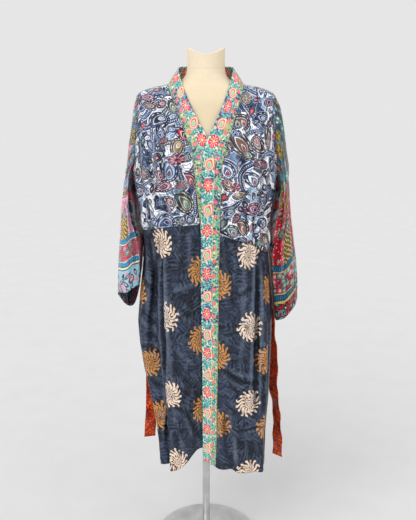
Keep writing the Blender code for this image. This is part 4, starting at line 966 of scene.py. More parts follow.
def sleeve_points(guides, sign, rows=116, columns=88):
    around = np.radians(90.0 - np.linspace(0.0, 360.0, columns + 1))[None, :]
    along = down_shares(rows) ** 1.15

    def guide_point(around, along):
        s, c = np.sin(around)[..., None], np.cos(around)[..., None]
        outer, inner = (joined(guides[line + "_x"](along), SLEEVE_MIDDLE_Y, guides[line + "_drop"](along))
                        for line in ("outer", "inner"))
        fore, rear = (joined(*(guides[line + axis](along) for axis in ("_x", "_y", "_drop")))
                      for line in ("front", "back"))
        middle = mix((fore + rear) / 2.0, (outer + inner) / 2.0, s * s)
        return middle + (outer - inner) / 2.0 * s + (fore - rear) / 2.0 * c

    drop = mix(ARMHOLE_TOP, ARMHOLE_BOTTOM, (1.0 - np.sin(around)) / 2.0)
    turn = np.where(np.cos(around) < 0.0, armhole_turn(drop, True), armhole_turn(drop, False))
    armhole = ring(turn * sign, drop)
    armhole[..., 0] = np.abs(armhole[..., 0])
    armhole[..., 2] = NECK_SEAM_HEIGHT - armhole[..., 2]
    point = guide_point(around, along)
    point = point + (armhole - guide_point(around, np.zeros((1, 1)))) * soft_step(0.22, 0.0, along)[..., None]
    push = np.zeros(point.shape[:2])
    for at, start, deep, spread in SLEEVE_FOLDS:
        grown = soft_step(start, start + 0.3, along)
        push = push + deep * grown * fold_shape(np.degrees(around), at, spread)
    inward = guide_point(around + math.pi, along) - guide_point(around, along)
    inward[..., 2] = 0.0
    point = point + unit(inward) * push[..., None]
    drop, side = point[..., 2], "left" if sign < 0.0 else "right"
    behind = point[..., 1] > 0.0
    power = np.where(behind, robe_size("power_back", drop), robe_size("power_" + side, drop))
    share = np.abs(point[..., 1]) / np.where(behind, robe_size("back", drop), robe_size("front", drop))
    beside = robe_size(side, drop) * (1.0 - np.clip(share, 0.0, 0.95) ** power) ** (1.0 / power)
    deepest = mix(0.048, 0.03, soft_step(0.46, 0.505, drop))
    near = soft_step(0.3, -0.4, np.sin(around)) * soft_step(deepest + 0.016, deepest, point[..., 1])
    near = near * soft_step(-0.064, -0.038, point[..., 1])
    near = near * soft_step(0.345, 0.376, drop) * soft_step(0.88, 0.72, drop)
    # The sleeve keeps further off where the bodice blouses over the waist seam.
    slack = 0.0085 * np.exp(-((drop - (0.457 if sign < 0.0 else 0.526)) / 0.032) ** 2)
    point[..., 0] = mix(point[..., 0], np.minimum(point[..., 0], beside + SLEEVE_TO_BODY + slack), near)
    return point * np.array((sign, 1.0, -1.0)) + np.array((0.0, 0.0, NECK_SEAM_HEIGHT))


SLEEVE_CREASES = (  # u is the way round from the front middle, v the distance up from the cuff
    (-0.05, 0.12, -0.04, 0.42, 0.006, 0.009, -0.004), (0.03, 0.06, 0.045, 0.36, -0.006, 0.01, -0.0045),
    (-0.11, 0.2, 0.06, 0.33, 0.012, 0.009, -0.003), (-0.08, 0.33, 0.07, 0.43, 0.01, 0.009, 0.003),
    (0.08, 0.02, 0.09, 0.18, 0.004, 0.008, 0.0034), (-0.1, 0.02, -0.085, 0.16, 0.004, 0.008, -0.004),
    (0.0, 0.3, 0.02, 0.52, 0.006, 0.01, -0.0036),
)
for side, guides, sign in (("right", SLEEVE_RIGHT, 1.0), ("left", SLEEVE_LEFT, -1.0)):
    points = sleeve_points(guides, sign)
    across, walked = walked_along(points, 1), walked_along(points, 0)
    front_column = points.shape[1] // 4
    u = sign * -(across - across[:, front_column, None])
    flat = joined(u, walked[-1:] - walked)
    inside = np.array((sign * 0.245, SLEEVE_MIDDLE_Y, 0.0))
    height = crease_field(flat, [*SLEEVE_CREASES, *scattered_creases(50, (0.15, 0.05), (0.34, 0.5), 8, 0.0)])
    height += wrinkles(flat, 61 + int(sign), 0.028, 0.0022, 10.0) + wrinkles(flat, 65, 0.01, 0.0006)
    height[:, [0, -1]] = height[:, [0, -1]].mean(axis=1, keepdims=True)
    hang("sleeve_" + side, points, flat, height, "hung", "robe_front_bodice_" + side, "border_silk",
         inside=inside, closed=True, reach=10)

# %% [markdown]
# ## Neck band
# One long strip is sewn to both fronts and round the back of the neck. It stands up round the neck, lies
# down onto the chest, crosses at the bust and runs to both hems. It is doubled silk, so its wall is
# thicker. Its columns go from the sewn edge to the free edge.

# %% The neck band's path
BAND_WALL, BAND_LIFT, NECK_POINT_ALONG = 0.0016, 0.0034, 0.146
BAND = curves("seam_drop free_x free_y free_drop free_under", (
    (0.0, 0.0445, 0.0, 0.073, -0.005, 0.0), (0.04, 0.0445, 0.034, 0.068, -0.0048, 0.034),
    (0.088, 0.045, 0.064, 0.049, -0.004, 0.064), (0.118, 0.0457, 0.0775, 0.027, -0.003, 0.0775),
    (0.146, 0.0465, 0.0815, 0.003, 0.0, 0.0815), (0.182, 0.052, 0.0785, -0.026, 0.0125, 0.0785),
    (0.222, 0.07, 0.0705, -0.05, 0.04, 0.07), (0.262, 0.105, 0.059, -0.08, 0.074, 0.056),
    (0.302, 0.14, 0.043, None, 0.114, 0.037), (0.342, 0.177, 0.025, None, 0.153, 0.017),
    (0.382, 0.212, 0.006, None, 0.191, -0.006), (0.424, 0.248, -0.007, None, 0.233, -0.022),
    (0.466, 0.286, -0.011, None, 0.28, -0.029),
))
BAND_NECK_END, NECK_STEPS = 0.466, 48


def band_half(over, across, neck_rows=120, front_rows=260):
    """The band from the centre back over one shoulder and down that front to the hem."""
    sign = 1.0 if over else -1.0
    along = np.linspace(0.0, BAND_NECK_END, neck_rows + 1)[:, None]
    arc = even_columns(lambda s: ring(round_the_back(s), NECK_POINT_DROP), NECK_STEPS, FINE_SAMPLES)[0]
    walked = NECK_STEPS / 2.0 * (1.0 + np.minimum(along / NECK_POINT_ALONG, 1.0))
    turns = round_the_back(np.interp(walked, np.arange(NECK_STEPS + 1), arc))
    at_neck = ring(turns, NECK_POINT_DROP) * np.array((sign, 1.0, 1.0))
    drop = BAND["seam_drop"](along)
    at_front = front(seam_turn(drop, over), drop, over)
    sewn = np.where((along <= NECK_POINT_ALONG)[..., None], at_neck, at_front)
    sewn[..., 2] += 0.00045 * soft_step(0.32, 0.2, along)
    free_x, free_drop = BAND["free_x" if over else "free_under"](along), BAND["free_drop"](along)
    free = joined(sign * free_x, BAND["free_y"](along), NECK_SEAM_HEIGHT - free_drop)
    standing = mix(sewn, free, across[..., None])
    seam_x = mix(sewn[..., 0], sign * free_x, across)
    drop = mix(NECK_SEAM_HEIGHT - sewn[..., 2], free_drop, across)
    lying = front(turn_at_x(seam_x, np.maximum(drop, 0.05)), np.maximum(drop, 0.05), over)
    lying[..., 1] -= BAND_LIFT * mix(0.6, 1.0, across) * soft_step(0.36, 0.3, along)
    upper = mix(standing, lying, soft_step(0.222, 0.302, along)[..., None])
    share = down_shares(front_rows, 1)
    top, seam_low = BAND["seam_drop"](BAND_NECK_END), CENTRE["over_seam" if over else "under_seam"](1.26)
    if over:
        low_edge = OVER_EDGES["hem"](seam_low - 0.04 * across)
    else:
        low_edge = UNDER_EDGES["hem"](seam_low + BAND_WIDTH * across)
    slant = (BAND["free_drop"](BAND_NECK_END) - top) * across * soft_step(0.15, 0.0, share)
    drop = mix(top, low_edge, share) + slant
    valley = CENTRE["valley"](drop)
    if over:
        x = CENTRE["over_seam"](drop) - np.sqrt(BAND_WIDTH ** 2 - valley ** 2) * across
    else:
        x = CENTRE["under_seam"](drop) + BAND_WIDTH * 0.97 * across
    return np.concatenate((upper, front(turn_at_x(x, drop), drop, over)))


across = down_shares(16).T
points = np.concatenate((band_half(False, across)[:0:-1], band_half(True, across)))
middle = len(points) // 2
walked = walked_along(points, 0)[:, 8:9]
flat = joined(across * BAND_WIDTH, walked - walked[middle])
height = 0.0009 * np.sin(math.pi * across) ** 0.7 + wrinkles(flat, 77, 0.026, 0.0011, 90.0)
height = height + wrinkles(flat, 78, 0.009, 0.0004)
height = height * (0.25 + 0.75 * np.sin(math.pi * np.clip(across, 0.04, 0.96)))
inside = joined(0.0, np.where(np.abs(walked) < 0.2, 0.0, 0.02), 0.0)
points = points + outward_normals(points, inside) * height[..., None]
made = cloth("robe_neck_band", points, flat, inside, BAND_WALL,
             fields=(("ridge", hollow_or_ridge(height, 5)),))
declare(made, "hung", ["robe_front_bodice_left", "robe_front_bodice_right", "robe_back_bodice"], "neck_band",
        slot="floral_band")

# %% [markdown]
# ## Belt and its loops
# The belt is a long flat strip of doubled silk. It lies round the back at the waist, runs through a loop
# at each side and hangs down untied. Where it leaves the loop it folds over from upright to hanging, and
# a twist turns its face from the side towards the front on the way down.

# %% The belt's path
BELT_OUT, BELT_LOOP_TURN = BELT_WALL + 0.0012, 103.0
TAIL_NAMES = "x y drop twist"
TAIL_RIGHT = curves(TAIL_NAMES, (
    (0.0, 0.202, 0.062, 0.575, 84.0), (0.1, 0.206, 0.066, 0.65, 72.0), (0.28, 0.214, 0.068, 0.78, 54.0),
    (0.45, 0.2225, 0.069, 0.9, 44.0), (0.62, 0.231, 0.069, 1.02, 48.0), (0.8, 0.2425, 0.067, 1.16, 58.0),
    (0.93, 0.253, 0.064, 1.268, 44.0), (1.0, 0.25, 0.062, 1.318, 44.0),
))
TAIL_LEFT = curves(TAIL_NAMES, (
    (0.0, 0.202, 0.062, 0.575, 86.0), (0.1, 0.199, 0.082, 0.65, 80.0), (0.28, 0.195, 0.115, 0.78, 62.0),
    (0.45, 0.192, 0.138, 0.9, 40.0), (0.62, 0.193, 0.15, 1.02, 22.0), (0.8, 0.1965, 0.152, 1.14, 12.0),
    (1.0, 0.205, 0.142, 1.29, 8.0),
))


def tail_line(tail, sign, along):
    """The middle of a hanging end and the way across it."""
    twist = np.radians(tail["twist"](along))
    centre = joined(sign * tail["x"](along), tail["y"](along), NECK_SEAM_HEIGHT - tail["drop"](along))
    return centre, joined(sign * np.cos(twist), -np.sin(twist), 0.0)


def back_line(turn):
    low = ring(turn, BELT_DROP + BELT_WIDTH / 2.0, BELT_OUT, folded=False)
    high = ring(turn, BELT_DROP - BELT_WIDTH / 2.0, BELT_OUT, folded=False)
    return (low + high) / 2.0, (high - low) / BELT_WIDTH


def turned_line(tail, sign, share):
    """Between the back and a hanging end the belt folds over from upright to hanging."""
    start, up = back_line(np.array([sign * (BELT_LOOP_TURN + 6.0)]))
    end, side = tail_line(tail, sign, np.zeros(1))
    angle = share[:, None] * math.pi / 2.0
    reach = np.concatenate((np.sin(angle), np.sin(angle), 1.0 - np.cos(angle)), axis=1)
    lean = up * np.cos(angle) + side * np.sin(angle)
    return start + (end - start) * reach, unit(lean)


down, over_share = np.linspace(0.0, 1.0, 121)[1:], np.linspace(0.0, 1.0, 13)[1:-1]
sweep = np.linspace(0.0, 1.0, 121)
first = BELT_LOOP_TURN + 6.0
turns = -first - (360.0 - 2.0 * first) * sweep
turns = np.where(turns > -180.0, turns, turns + 360.0)
runs = [tail_line(TAIL_LEFT, -1.0, down[::-1]), tail_line(TAIL_LEFT, -1.0, np.zeros(1)),
        turned_line(TAIL_LEFT, -1.0, over_share[::-1]), back_line(turns),
        turned_line(TAIL_RIGHT, 1.0, over_share), tail_line(TAIL_RIGHT, 1.0, np.zeros(1)),
        tail_line(TAIL_RIGHT, 1.0, down)]
centre, side = (np.concatenate([run[i] for run in runs]) for i in (0, 1))
across = np.linspace(-0.5, 0.5, 9)[None, :]
points = centre[:, None, :] + side[:, None, :] * across[..., None] * BELT_WIDTH
walked = walked_along(points, 0)[:, 4:5]
flat = joined(across * BELT_WIDTH, walked - walked[len(walked) // 2])
hanging = soft_step(0.26, 0.45, np.abs(flat[..., 1]))
wave = 0.0035 * np.sin(flat[..., 1] * 31.0 + 0.6)
height = hanging * (wave + 0.0022 * np.cos(flat[..., 1] * 74.0) * np.sin(math.pi * across))
height += (wrinkles(flat, 81, 0.03, 0.0016, 70.0) + wrinkles(flat, 82, 0.01, 0.0004)) * (0.2 + 0.8 * hanging)
points = points + normals_of(points) * height[..., None]
made = cloth("robe_belt", points, flat, BODY, BELT_WALL, fields=(("ridge", hollow_or_ridge(height, 5)),))
declare(made, "hung", ["robe_belt_loop_left", "robe_belt_loop_right", "robe_back_skirt"], "belt",
        slot="rust_silk")

# %% [markdown]
# The belt loops are narrow strips, sewn down at both ends, that arch over the belt.

# %% Belt loops
LOOP_HALF_HEIGHT, LOOP_HALF_WIDTH, LOOP_SEAT, LOOP_REACH, LOOP_WALL = 0.028, 0.004, 0.0017, 0.0058, 0.0012
share = np.linspace(-1.0, 1.0, 37)[:, None]
across = np.linspace(-1.0, 1.0, 5)[None, :]
for side, sign in (("right", 1.0), ("left", -1.0)):
    turn, rise = sign * (BELT_LOOP_TURN + 11.0), mix(LOOP_SEAT, LOOP_REACH, 1.0 - share ** 6)
    centre = ring(turn, BELT_DROP + share * LOOP_HALF_HEIGHT, rise, folded=False)
    ahead = ring(turn + sign, BELT_DROP + share * LOOP_HALF_HEIGHT, rise, folded=False) - centre
    points = centre + unit(ahead) * (across * LOOP_HALF_WIDTH)[..., None]
    flat = joined(across * LOOP_HALF_WIDTH, share * LOOP_HALF_HEIGHT)
    made = cloth("robe_belt_loop_" + side, points, flat, BODY, LOOP_WALL,
                 fields=(("ridge", 0.0 * flat[..., 0]),))
    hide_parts("belt_loop_" + side)
    print(made.name, "width", 2000.0 * LOOP_HALF_WIDTH, "mm")

# %% [markdown]
# ## Prints on the flat cloth
# A print is a ground with motifs on it. A motif is placed on the flat cut in the units a printer would
# use: where its middle lies, how long and wide it is, how it is turned, its kind and its tints. Each
# face of the cloth belongs to the motif it is nearest to, and its corners store their place inside that
# motif as a second UV map, so a few shader nodes can draw any number of motifs with sharp edges.

# %% Kinds and tints of motifs
KINDS = {  # tail ahead, tail behind, curl, core, petals, length in radii, width to length
    "oval": (0.0, 0.0, 0.0, 0.42, 0.0, 2.0, 0.72), "eye": (1.4, 0.0, 0.45, 0.3, 0.0, 3.1, 0.58),
    "drop": (2.8, 0.0, 0.26, 0.22, 0.0, 4.1, 0.42), "crook": (3.8, 0.0, 0.4, 0.18, 0.0, 4.6, 0.4),
    "plume": (3.6, 0.0, 0.12, 0.16, 0.0, 5.2, 0.34), "leaf": (1.5, 1.5, 0.05, 0.16, 0.0, 4.6, 0.32),
    "fan": (0.3, 0.0, 0.1, 0.34, 9.0, 2.2, 0.7), "bulb": (1.1, 0.0, 0.42, 0.4, 0.0, 2.7, 0.74),
    "star": (0.0, 0.0, 0.0, 0.22, 5.0, 2.0, 1.0), "sun": (0.0, 0.0, 0.0, 0.3, 0.0, 2.0, 1.0),
}
TINTS = {  # ring, body, core
    "pink": ("#5A3A4E", "#DC8C9C", "#A23A54"), "brown": ("#7A5A44", "#33405E", "#A04850"),
    "wine": ("#8A3240", "#3E2A44", "#B4606C"), "olive": ("#6C6448", "#2E4A46", "#7E9A84"),
    "steel": ("#3C4F7C", "#93A7CB", "#1E2A50"), "coral": ("#5E2236", "#D8404E", "#222B48"),
    "ochre": ("#8A7046", "#3F4A62", "#C2A878"), "navy": ("#222C4A", "#3A4C76", "#93A5C6"),
    "garnet": ("#A83E4A", "#3A4A78", "#22305A"), "umber": ("#7A5C42", "#2A3656", "#B45058"),
    "pale": ("#4A5F8C", "#F0F2F6", "#A03A48"), "green": ("#2E4A4A", "#5F8A7A", "#7E2E42"),
    "cream": ("#EFD6BE", "#EBCDB2", "#A27A62"), "gold": ("#C68A48", "#C48844", "#8A5A30"),
    "apricot": ("#F2D8BC", "#E2604E", "#A0CAA8"), "rose": ("#E22E58", "#E83A60", "#E4DCA0"),
    "poppy": ("#DE2E54", "#E63458", "#F4A8A0"), "teal": ("#17848F", "#2E9AA0", "#F0E2B0"),
    "royal": ("#23478E", "#3A63B0", "#F0C860"), "moss": ("#6E5A22", "#93782A", "#4E3F1C"),
    "ruby": ("#8E1E36", "#C02840", "#3E8C98"), "aqua": ("#2F7F98", "#79B9C4", "#8E7A34"),
    "petal": ("#B84C6C", "#EDB4C4", "#A8324C"), "rust": ("#D0480E", "#86101A", "#CC5A34"),
    "ember": ("#78060E", "#DA5212", "#B02A18"),
}


def scattered_motifs(name, placed, count, seed, kinds, tints, sizes, area=(-9.0, 9.0), apart=0.46, braids=()):
    """More motifs of a few kinds wherever the placed ones and the braids leave room."""
    rng = np.random.default_rng(seed)
    knots = [(*knot, braid[-2]) for braid in braids for knot in zip(braid[:-2:2], braid[1:-2:2])]
    flat = made_pieces[name][2].reshape(-1, 2)
    flat = flat[(flat[:, 1] > area[0]) & (flat[:, 1] < area[1])]
    rows = list(placed)
    for size in np.sort(rng.uniform(*sizes, count))[::-1]:
        for _ in range(40):
            u, v = flat[rng.integers(len(flat))] + rng.normal(0.0, 0.003, 2)
            free = all(math.hypot(u - row[0], v - row[1]) > 0.001 * apart * (size + (row[2] + row[3]) / 2.0)
                       for row in rows)
            if free and all(math.hypot(u - knot[0], v - knot[1]) > knot[2] + 0.00034 * size
                            for knot in knots):
                kind, tint = kinds[rng.integers(len(kinds))], tints[rng.integers(len(tints))]
                rows.append((u, v, size, size * KINDS[kind][6], rng.uniform(-180.0, 180.0), kind, tint))
                break
    return rows


def corner_places(mesh):
    """Where the corners of a cloth's faces lie on its cut, four to a face."""
    at = np.empty(len(mesh.loops) * 2)
    mesh.uv_layers["cut"].data.foreach_get("uv", at)
    return at.reshape(-1, 4, 2)


def print_motifs(name, rows, pleat=None):
    """Stores, for each corner of the cloth, its place in the nearest motif and how that one is drawn.

    A pleat is a line from top to bottom, as u at each v, that no motif crosses."""
    mesh = made_pieces[name][0].data
    at = corner_places(mesh)
    middle = at.mean(axis=1)
    nearest, best = np.zeros(len(middle), int), np.full(len(middle), np.inf)
    frames, radii = [], []
    for index, (u, v, long, wide, turn, kind, tint) in enumerate(rows):
        tail, behind, length = KINDS[kind][0], KINDS[kind][1], KINDS[kind][5]
        radius = np.array((0.001 * long / length, 0.0005 * wide))
        radii.append(math.sqrt(radius[0] * radius[1]))
        ahead = np.array((math.cos(math.radians(turn)), math.sin(math.radians(turn))))
        start = np.array((u, v)) - ahead * radius[0] * (tail - behind) / 3.0
        axes = np.stack((ahead / radius[0], np.array((-ahead[1], ahead[0])) / radius[1]), axis=1)
        frames.append((start, axes))
        far = np.linalg.norm((middle - start) @ axes - np.array(((tail - behind) / 4.0, 0.0)), axis=1)
        if pleat:
            far[(middle[:, 0] > pleat(middle[:, 1])) != (u > pleat(v))] += 99.0
        closer = far < best
        nearest[closer], best[closer] = index, far[closer]
    starts, axes = np.array([frame[0] for frame in frames]), np.array([frame[1] for frame in frames])
    local = np.einsum("fcu,fux->fcx", at - starts[nearest][:, None], axes[nearest])
    mesh.uv_layers.new(name="motif").data.foreach_set("uv", local.ravel())
    form = np.array([KINDS[row[5]] for row in rows])
    tints = np.array([[linear(colour)[:3] for colour in TINTS[row[6]]] for row in rows])
    layers = {
        "motif_form": form[:, :4], "motif_ring": np.column_stack((tints[:, 0], form[:, 4])),
        "motif_body": np.column_stack((tints[:, 1], radii)),
        "motif_core": np.column_stack((tints[:, 2], np.arange(len(rows)) * 0.618 % 1.0)),
    }
    for field, values in layers.items():
        layer = mesh.attributes.new(field, "FLOAT_COLOR", "CORNER")
        layer.data.foreach_set("color", np.repeat(values[nearest], 4, axis=0).astype(np.float32).ravel())
    print(name, "carries", len(rows), "motifs")


def scattered_braids(name, count, seed):
    """Braids that swing one way, then the other, and end in a hook."""
    rng = np.random.default_rng(seed)
    flat = made_pieces[name][2].reshape(-1, 2)
    rows = []
    for _ in range(count):
        place = flat[rng.integers(len(flat))].copy()
        heading, side = rng.uniform(0.0, 6.28), rng.choice((-1.0, 1.0))
        step, knots = rng.uniform(0.011, 0.018), []
        for share in np.linspace(0.0, 1.0, 8):
            knots += [place[0], place[1]]
            place = place + step * np.array((math.cos(heading), math.sin(heading)))
            heading += side * step * mix(-34.0, 62.0, share)
        rows.append((*knots, rng.uniform(0.0058, 0.01), rng.uniform(0.0, 1.0)))
    return rows


def print_strands(name, strands):
    """Stores, for each corner, how far along and across the nearest braid of the print it lies."""
    mesh = made_pieces[name][0].data
    face_middle, at = corner_places(mesh).mean(axis=1), corner_places(mesh).reshape(-1, 2)
    best, found = np.full(len(face_middle), np.inf), np.tile((0.0, 9.0, 0.0), (len(at), 1))
    for *knots, half_width, tint in strands:
        knots = np.array(knots).reshape(-1, 2)
        reach, fine = np.arange(len(knots)), np.linspace(0.0, len(knots) - 1.0, 90)
        line = np.stack([smooth_curve(reach, knots[:, i])(fine) for i in (0, 1)], axis=1)
        step = np.diff(line, axis=0)
        long = np.linalg.norm(step, axis=1)
        walked = np.concatenate(((0.0,), np.cumsum(long)))

        def nearest_on(points):
            away = points[:, None] - line[:-1]
            share = np.clip((away * step).sum(axis=2) / (long ** 2), 0.0, 1.0)
            gap = away - share[..., None] * step
            far = np.linalg.norm(gap, axis=2)
            row, pick = np.arange(len(points)), far.argmin(axis=1)
            side = np.sign(step[pick, 0] * gap[row, pick, 1] - step[pick, 1] * gap[row, pick, 0])
            along = walked[pick] + share[row, pick] * long[pick]
            taper = 0.3 + 0.7 * np.sin(math.pi * np.clip(along / walked[-1], 0.02, 0.98)) ** 0.6
            return far[row, pick] / (half_width * taper), along, side

        near = np.flatnonzero(np.abs(face_middle[:, None] - knots).max(axis=2).min(axis=1) < 0.05)
        far = np.full(len(face_middle), np.inf)
        far[near] = nearest_on(face_middle[near])[0]
        use = (far < best) & (far < 4.0)
        best[use] = far[use]
        corners = np.flatnonzero(np.repeat(use, 4))
        if len(corners):
            gap, along, side = nearest_on(at[corners])
            found[corners] = joined(along, side * gap, tint)
    layer = mesh.attributes.new("strand", "FLOAT_VECTOR", "CORNER")
    layer.data.foreach_set("vector", found.astype(np.float32).ravel())
    print(name, "carries", len(strands), "braids")


# %% [markdown]
# ## Drawing a motif
# The level of a motif is 0 in its middle and 1 on its outline. For a paisley drop it is the distance from
# the middle, divided by a reach that rises to a point on one side, and that side turns with the distance,
# which curls the tail. Lines and rings of the motif are then simply bands of that level.

# %% Level and rings of a motif
def between(value, low, high):
    """1 where a value is between two others."""
    return (value > low) * (value < high)


def wobbly(place, wander, size):
    """The same place, moved a little by noise, so that drawn lines look hand-made."""
    stirred = noise(on("cut"), 1.0 / size, 2.0, out="Color")
    centred = add("VectorMath", stirred, (0.5, 0.5, 0.5), operation="SUBTRACT")
    return add("VectorMath", centred, (wander, wander, 0.0), place, operation="MULTIPLY_ADD")


def polar(place):
    """Distance from the middle and angle round it."""
    x, y, _ = parts(place)
    return root(scaled(x, x, y * y)), add("ARCTAN2", y, x)


def motif_over(ground, line, halo, wander=0.2, thin=0.001, swell=0.05, echo=None, hatching=0.6):
    """The motifs of a cut, drawn over its ground: small ones with thin lines, large ones with thicker.

    Without a colour for the line, each motif is outlined in the tint of its own body."""
    r, angle = polar(wobbly(on("motif"), wander, 0.011))
    form, ring, body, core = (stored("motif_" + part, out=None) for part in ("form", "ring", "body", "core"))
    line = line or body[0]
    tail, behind, curl = add("SeparateColor", form[0], out=None)
    bent = add("WRAP", scaled(curl, r, angle), math.pi, -math.pi)
    aside = abs(bent) / math.pi
    front_reach = scaled((1.0 - aside) ** 3.8, tail, 1.0)
    back_reach = aside ** 8.0 * behind
    # Petals are round and part in sharp notches; a motif without petals has a count of 0.
    petal = abs(cosine(angle * (ring[3] * 0.5)))
    round_petal = scaled(petal ** 0.42, 0.42, 0.58)
    reach = (front_reach + back_reach) * round_petal
    level = r / reach
    thick = thin / body[3] + swell
    over = (level - 1.0) / thick
    if echo:
        # Thin lines outside a motif repeat its outline, and lift away from it in places.
        waves = sine(over * 1.75)
        breaks = noise(on("cut"), 55.0, 1.0) > 0.47
        around = between(over, 1.6, 8.5) * (waves > 0.35)
        ground = painted(ground, echo, around * (breaks * 0.85))
    hatch = sine(scaled(angle, 5.0, level * 16.0)) > 0.45
    flower = ring[3] > 1.0
    plain = 1.0 - flower
    beaded = (cosine(angle * 11.0) > 0.25) * between(level, 0.76, 0.87) * plain
    inner = painted(body[0], ring[0], hatch * (plain * hatching))
    # Motifs with room for it carry one more ring inside.
    roomy = (body[3] > 0.0085) * plain
    rim = level - form[3]
    paint = layered(
        ring[0], (halo, beaded), (inner, level < 0.66), (ring[0], (level < 0.44) * roomy),
        (halo, between(level, 0.44, 0.49) * roomy), (line, (abs(level - 0.66) < thick * 0.35) * plain),
        (halo, (rim < thick * 0.4) * plain), (core[0], rim < 0.0),
        (core[0], between(level, 0.36, 0.8) * (petal > 0.972) * flower),
        (halo, (level > 0.26) * (petal < 0.24) * flower),
        (line, (over > -1.1) * scaled(flower, -0.8, 1.0)), (halo, over > 0.75))
    return painted(ground, paint, over < 1.1)


THREADS_APART, STITCHES_APART, TURN = 0.0009, 0.0042, 2.0 * math.pi
BANDS = 0.314  # the scale of a Wave texture whose bands are 1 m apart


def silk_surface(colour, rough, crumple, grain, pucker=True, lifted="#C8D4EC", lift=0.1, deep=0.34):
    """The finish of washed silk: weave, crumples, a pucker at the seams with painted shade in its ditch,
    ridges lighter from wear and painted highlight, troughs in painted shade, and a soft sheen.
    """
    cut = on("cut")
    # Silk threads are a tenth of a millimetre apart; they are drawn at 0.9 mm so that they can show.
    warp, weft = (add("TexWave", cut, BANDS / THREADS_APART, 1.2, 1.0, 1.0, bands_direction=way, out="Fac")
                  for way in "XY")
    crease = noise(cut, 1.0 / grain, 4.0, 0.62, 2.0, 0.9)
    height = scaled(warp + weft, 0.04, crease * crumple)
    if pucker:
        seam = stored("seam", out="Fac")
        ditch = ranged(seam, 0.0, 0.003, 1.0, 0.0)
        u, v, _ = parts(cut)
        # Stitches 4 mm long show as small puckers beside the seam.
        pull = ranged(seam, 0.0, 0.012, 0.35, 0.0) * sine((u + v) * (TURN / STITCHES_APART))
        height = height - ditch + pull
        # The seam's ditch is painted darker too, as shade.
        colour = painted(colour, "#10141F", ditch * 0.55)
    # Ridges are painted lighter, as wear and as highlight, and troughs are painted darker, as shade.
    ridge = stored("ridge", out="Fac")
    colour = painted(colour, lifted, ranged(ridge, 0.1, 1.0, 0.0, lift))
    colour = painted(colour, "#0A0D16", ranged(ridge, -1.0, -0.1, deep, 0.0))
    shade({"Base Color": colour, "Roughness": ranged(crease, 0.3, 0.7, rough - 0.07, rough + 0.07),
           "Normal": bumped(height, 0.75, 0.0011), "Sheen Weight": 0.04, "Sheen Roughness": 0.4,
           "Specular IOR Level": 0.22})


def bumped(height, strength, reach):
    """The shading of a surface that rises by up to a reach in metres."""
    return add("Bump", strength, reach, named=(("Height", height),))


def printed_on(material, *names):
    """Gives pieces of cloth their silk."""
    for name in names:
        made_pieces[name][0].data.materials.append(material)
    print(material.name, "has", len(tree.nodes), "nodes and is on", ", ".join(names))


# %% [markdown]
# ## Paisley silk of the bodice
# A crowded paisley on a marbled ground of white, pale blue and slate. The big drops, leaves and curls
# are placed where the robe shows them, smaller ones fill the gaps, and braids with a dotted middle wind
# between them. The marbling is smooth noise cut into bands, and fine navy lines follow its contours.

# %% Where the bodice's motifs lie
MOTIFS_LEFT = (
    (-0.176, 0.072, 73, 23, -8, "leaf", "pink"), (-0.168, 0.097, 61, 23, 6, "leaf", "brown"),
    (-0.128, 0.084, 29, 23, -150, "eye", "wine"), (-0.091, 0.09, 52, 29, -80, "drop", "olive"),
    (-0.144, 0.127, 84, 29, -165, "crook", "navy"), (-0.193, 0.159, 23, 23, 0, "star", "coral"),
    (-0.059, 0.175, 49, 29, -95, "drop", "coral"), (-0.128, 0.177, 34, 26, -40, "drop", "steel"),
    (-0.124, 0.198, 43, 17, -25, "leaf", "coral"), (-0.091, 0.214, 63, 37, -200, "crook", "ochre"),
    (-0.082, 0.253, 57, 29, -10, "fan", "coral"), (-0.099, 0.283, 75, 40, -60, "drop", "steel"),
    (-0.055, 0.247, 37, 23, -30, "leaf", "green"), (-0.125, 0.333, 76, 29, -18, "leaf", "pink"),
    (-0.131, 0.3, 35, 20, -70, "drop", "pink"), (-0.102, 0.374, 35, 29, -85, "eye", "brown"),
    (-0.06, 0.371, 87, 38, -105, "drop", "olive"), (-0.14, 0.382, 24, 24, 0, "star", "steel"),
    (-0.126, 0.43, 71, 41, -150, "crook", "steel"), (-0.077, 0.437, 23, 23, -45, "star", "green"),
    (-0.268, 0.222, 27, 27, -45, "star", "steel"), (-0.19, 0.293, 50, 26, -105, "drop", "brown"),
    (-0.039, 0.304, 63, 29, -80, "crook", "wine"), (-0.071, 0.327, 40, 23, -20, "fan", "brown"),
    (-0.143, 0.25, 29, 20, -60, "leaf", "wine"), (-0.163, 0.213, 38, 17, -110, "leaf", "steel"),
    (-0.141, 0.037, 35, 17, -20, "drop", "wine"), (-0.229, 0.354, 42, 24, -160, "drop", "pale"),
    (-0.047, 0.425, 41, 26, -80, "drop", "navy"), (-0.104, 0.041, 35, 23, -40, "crook", "navy"),
)
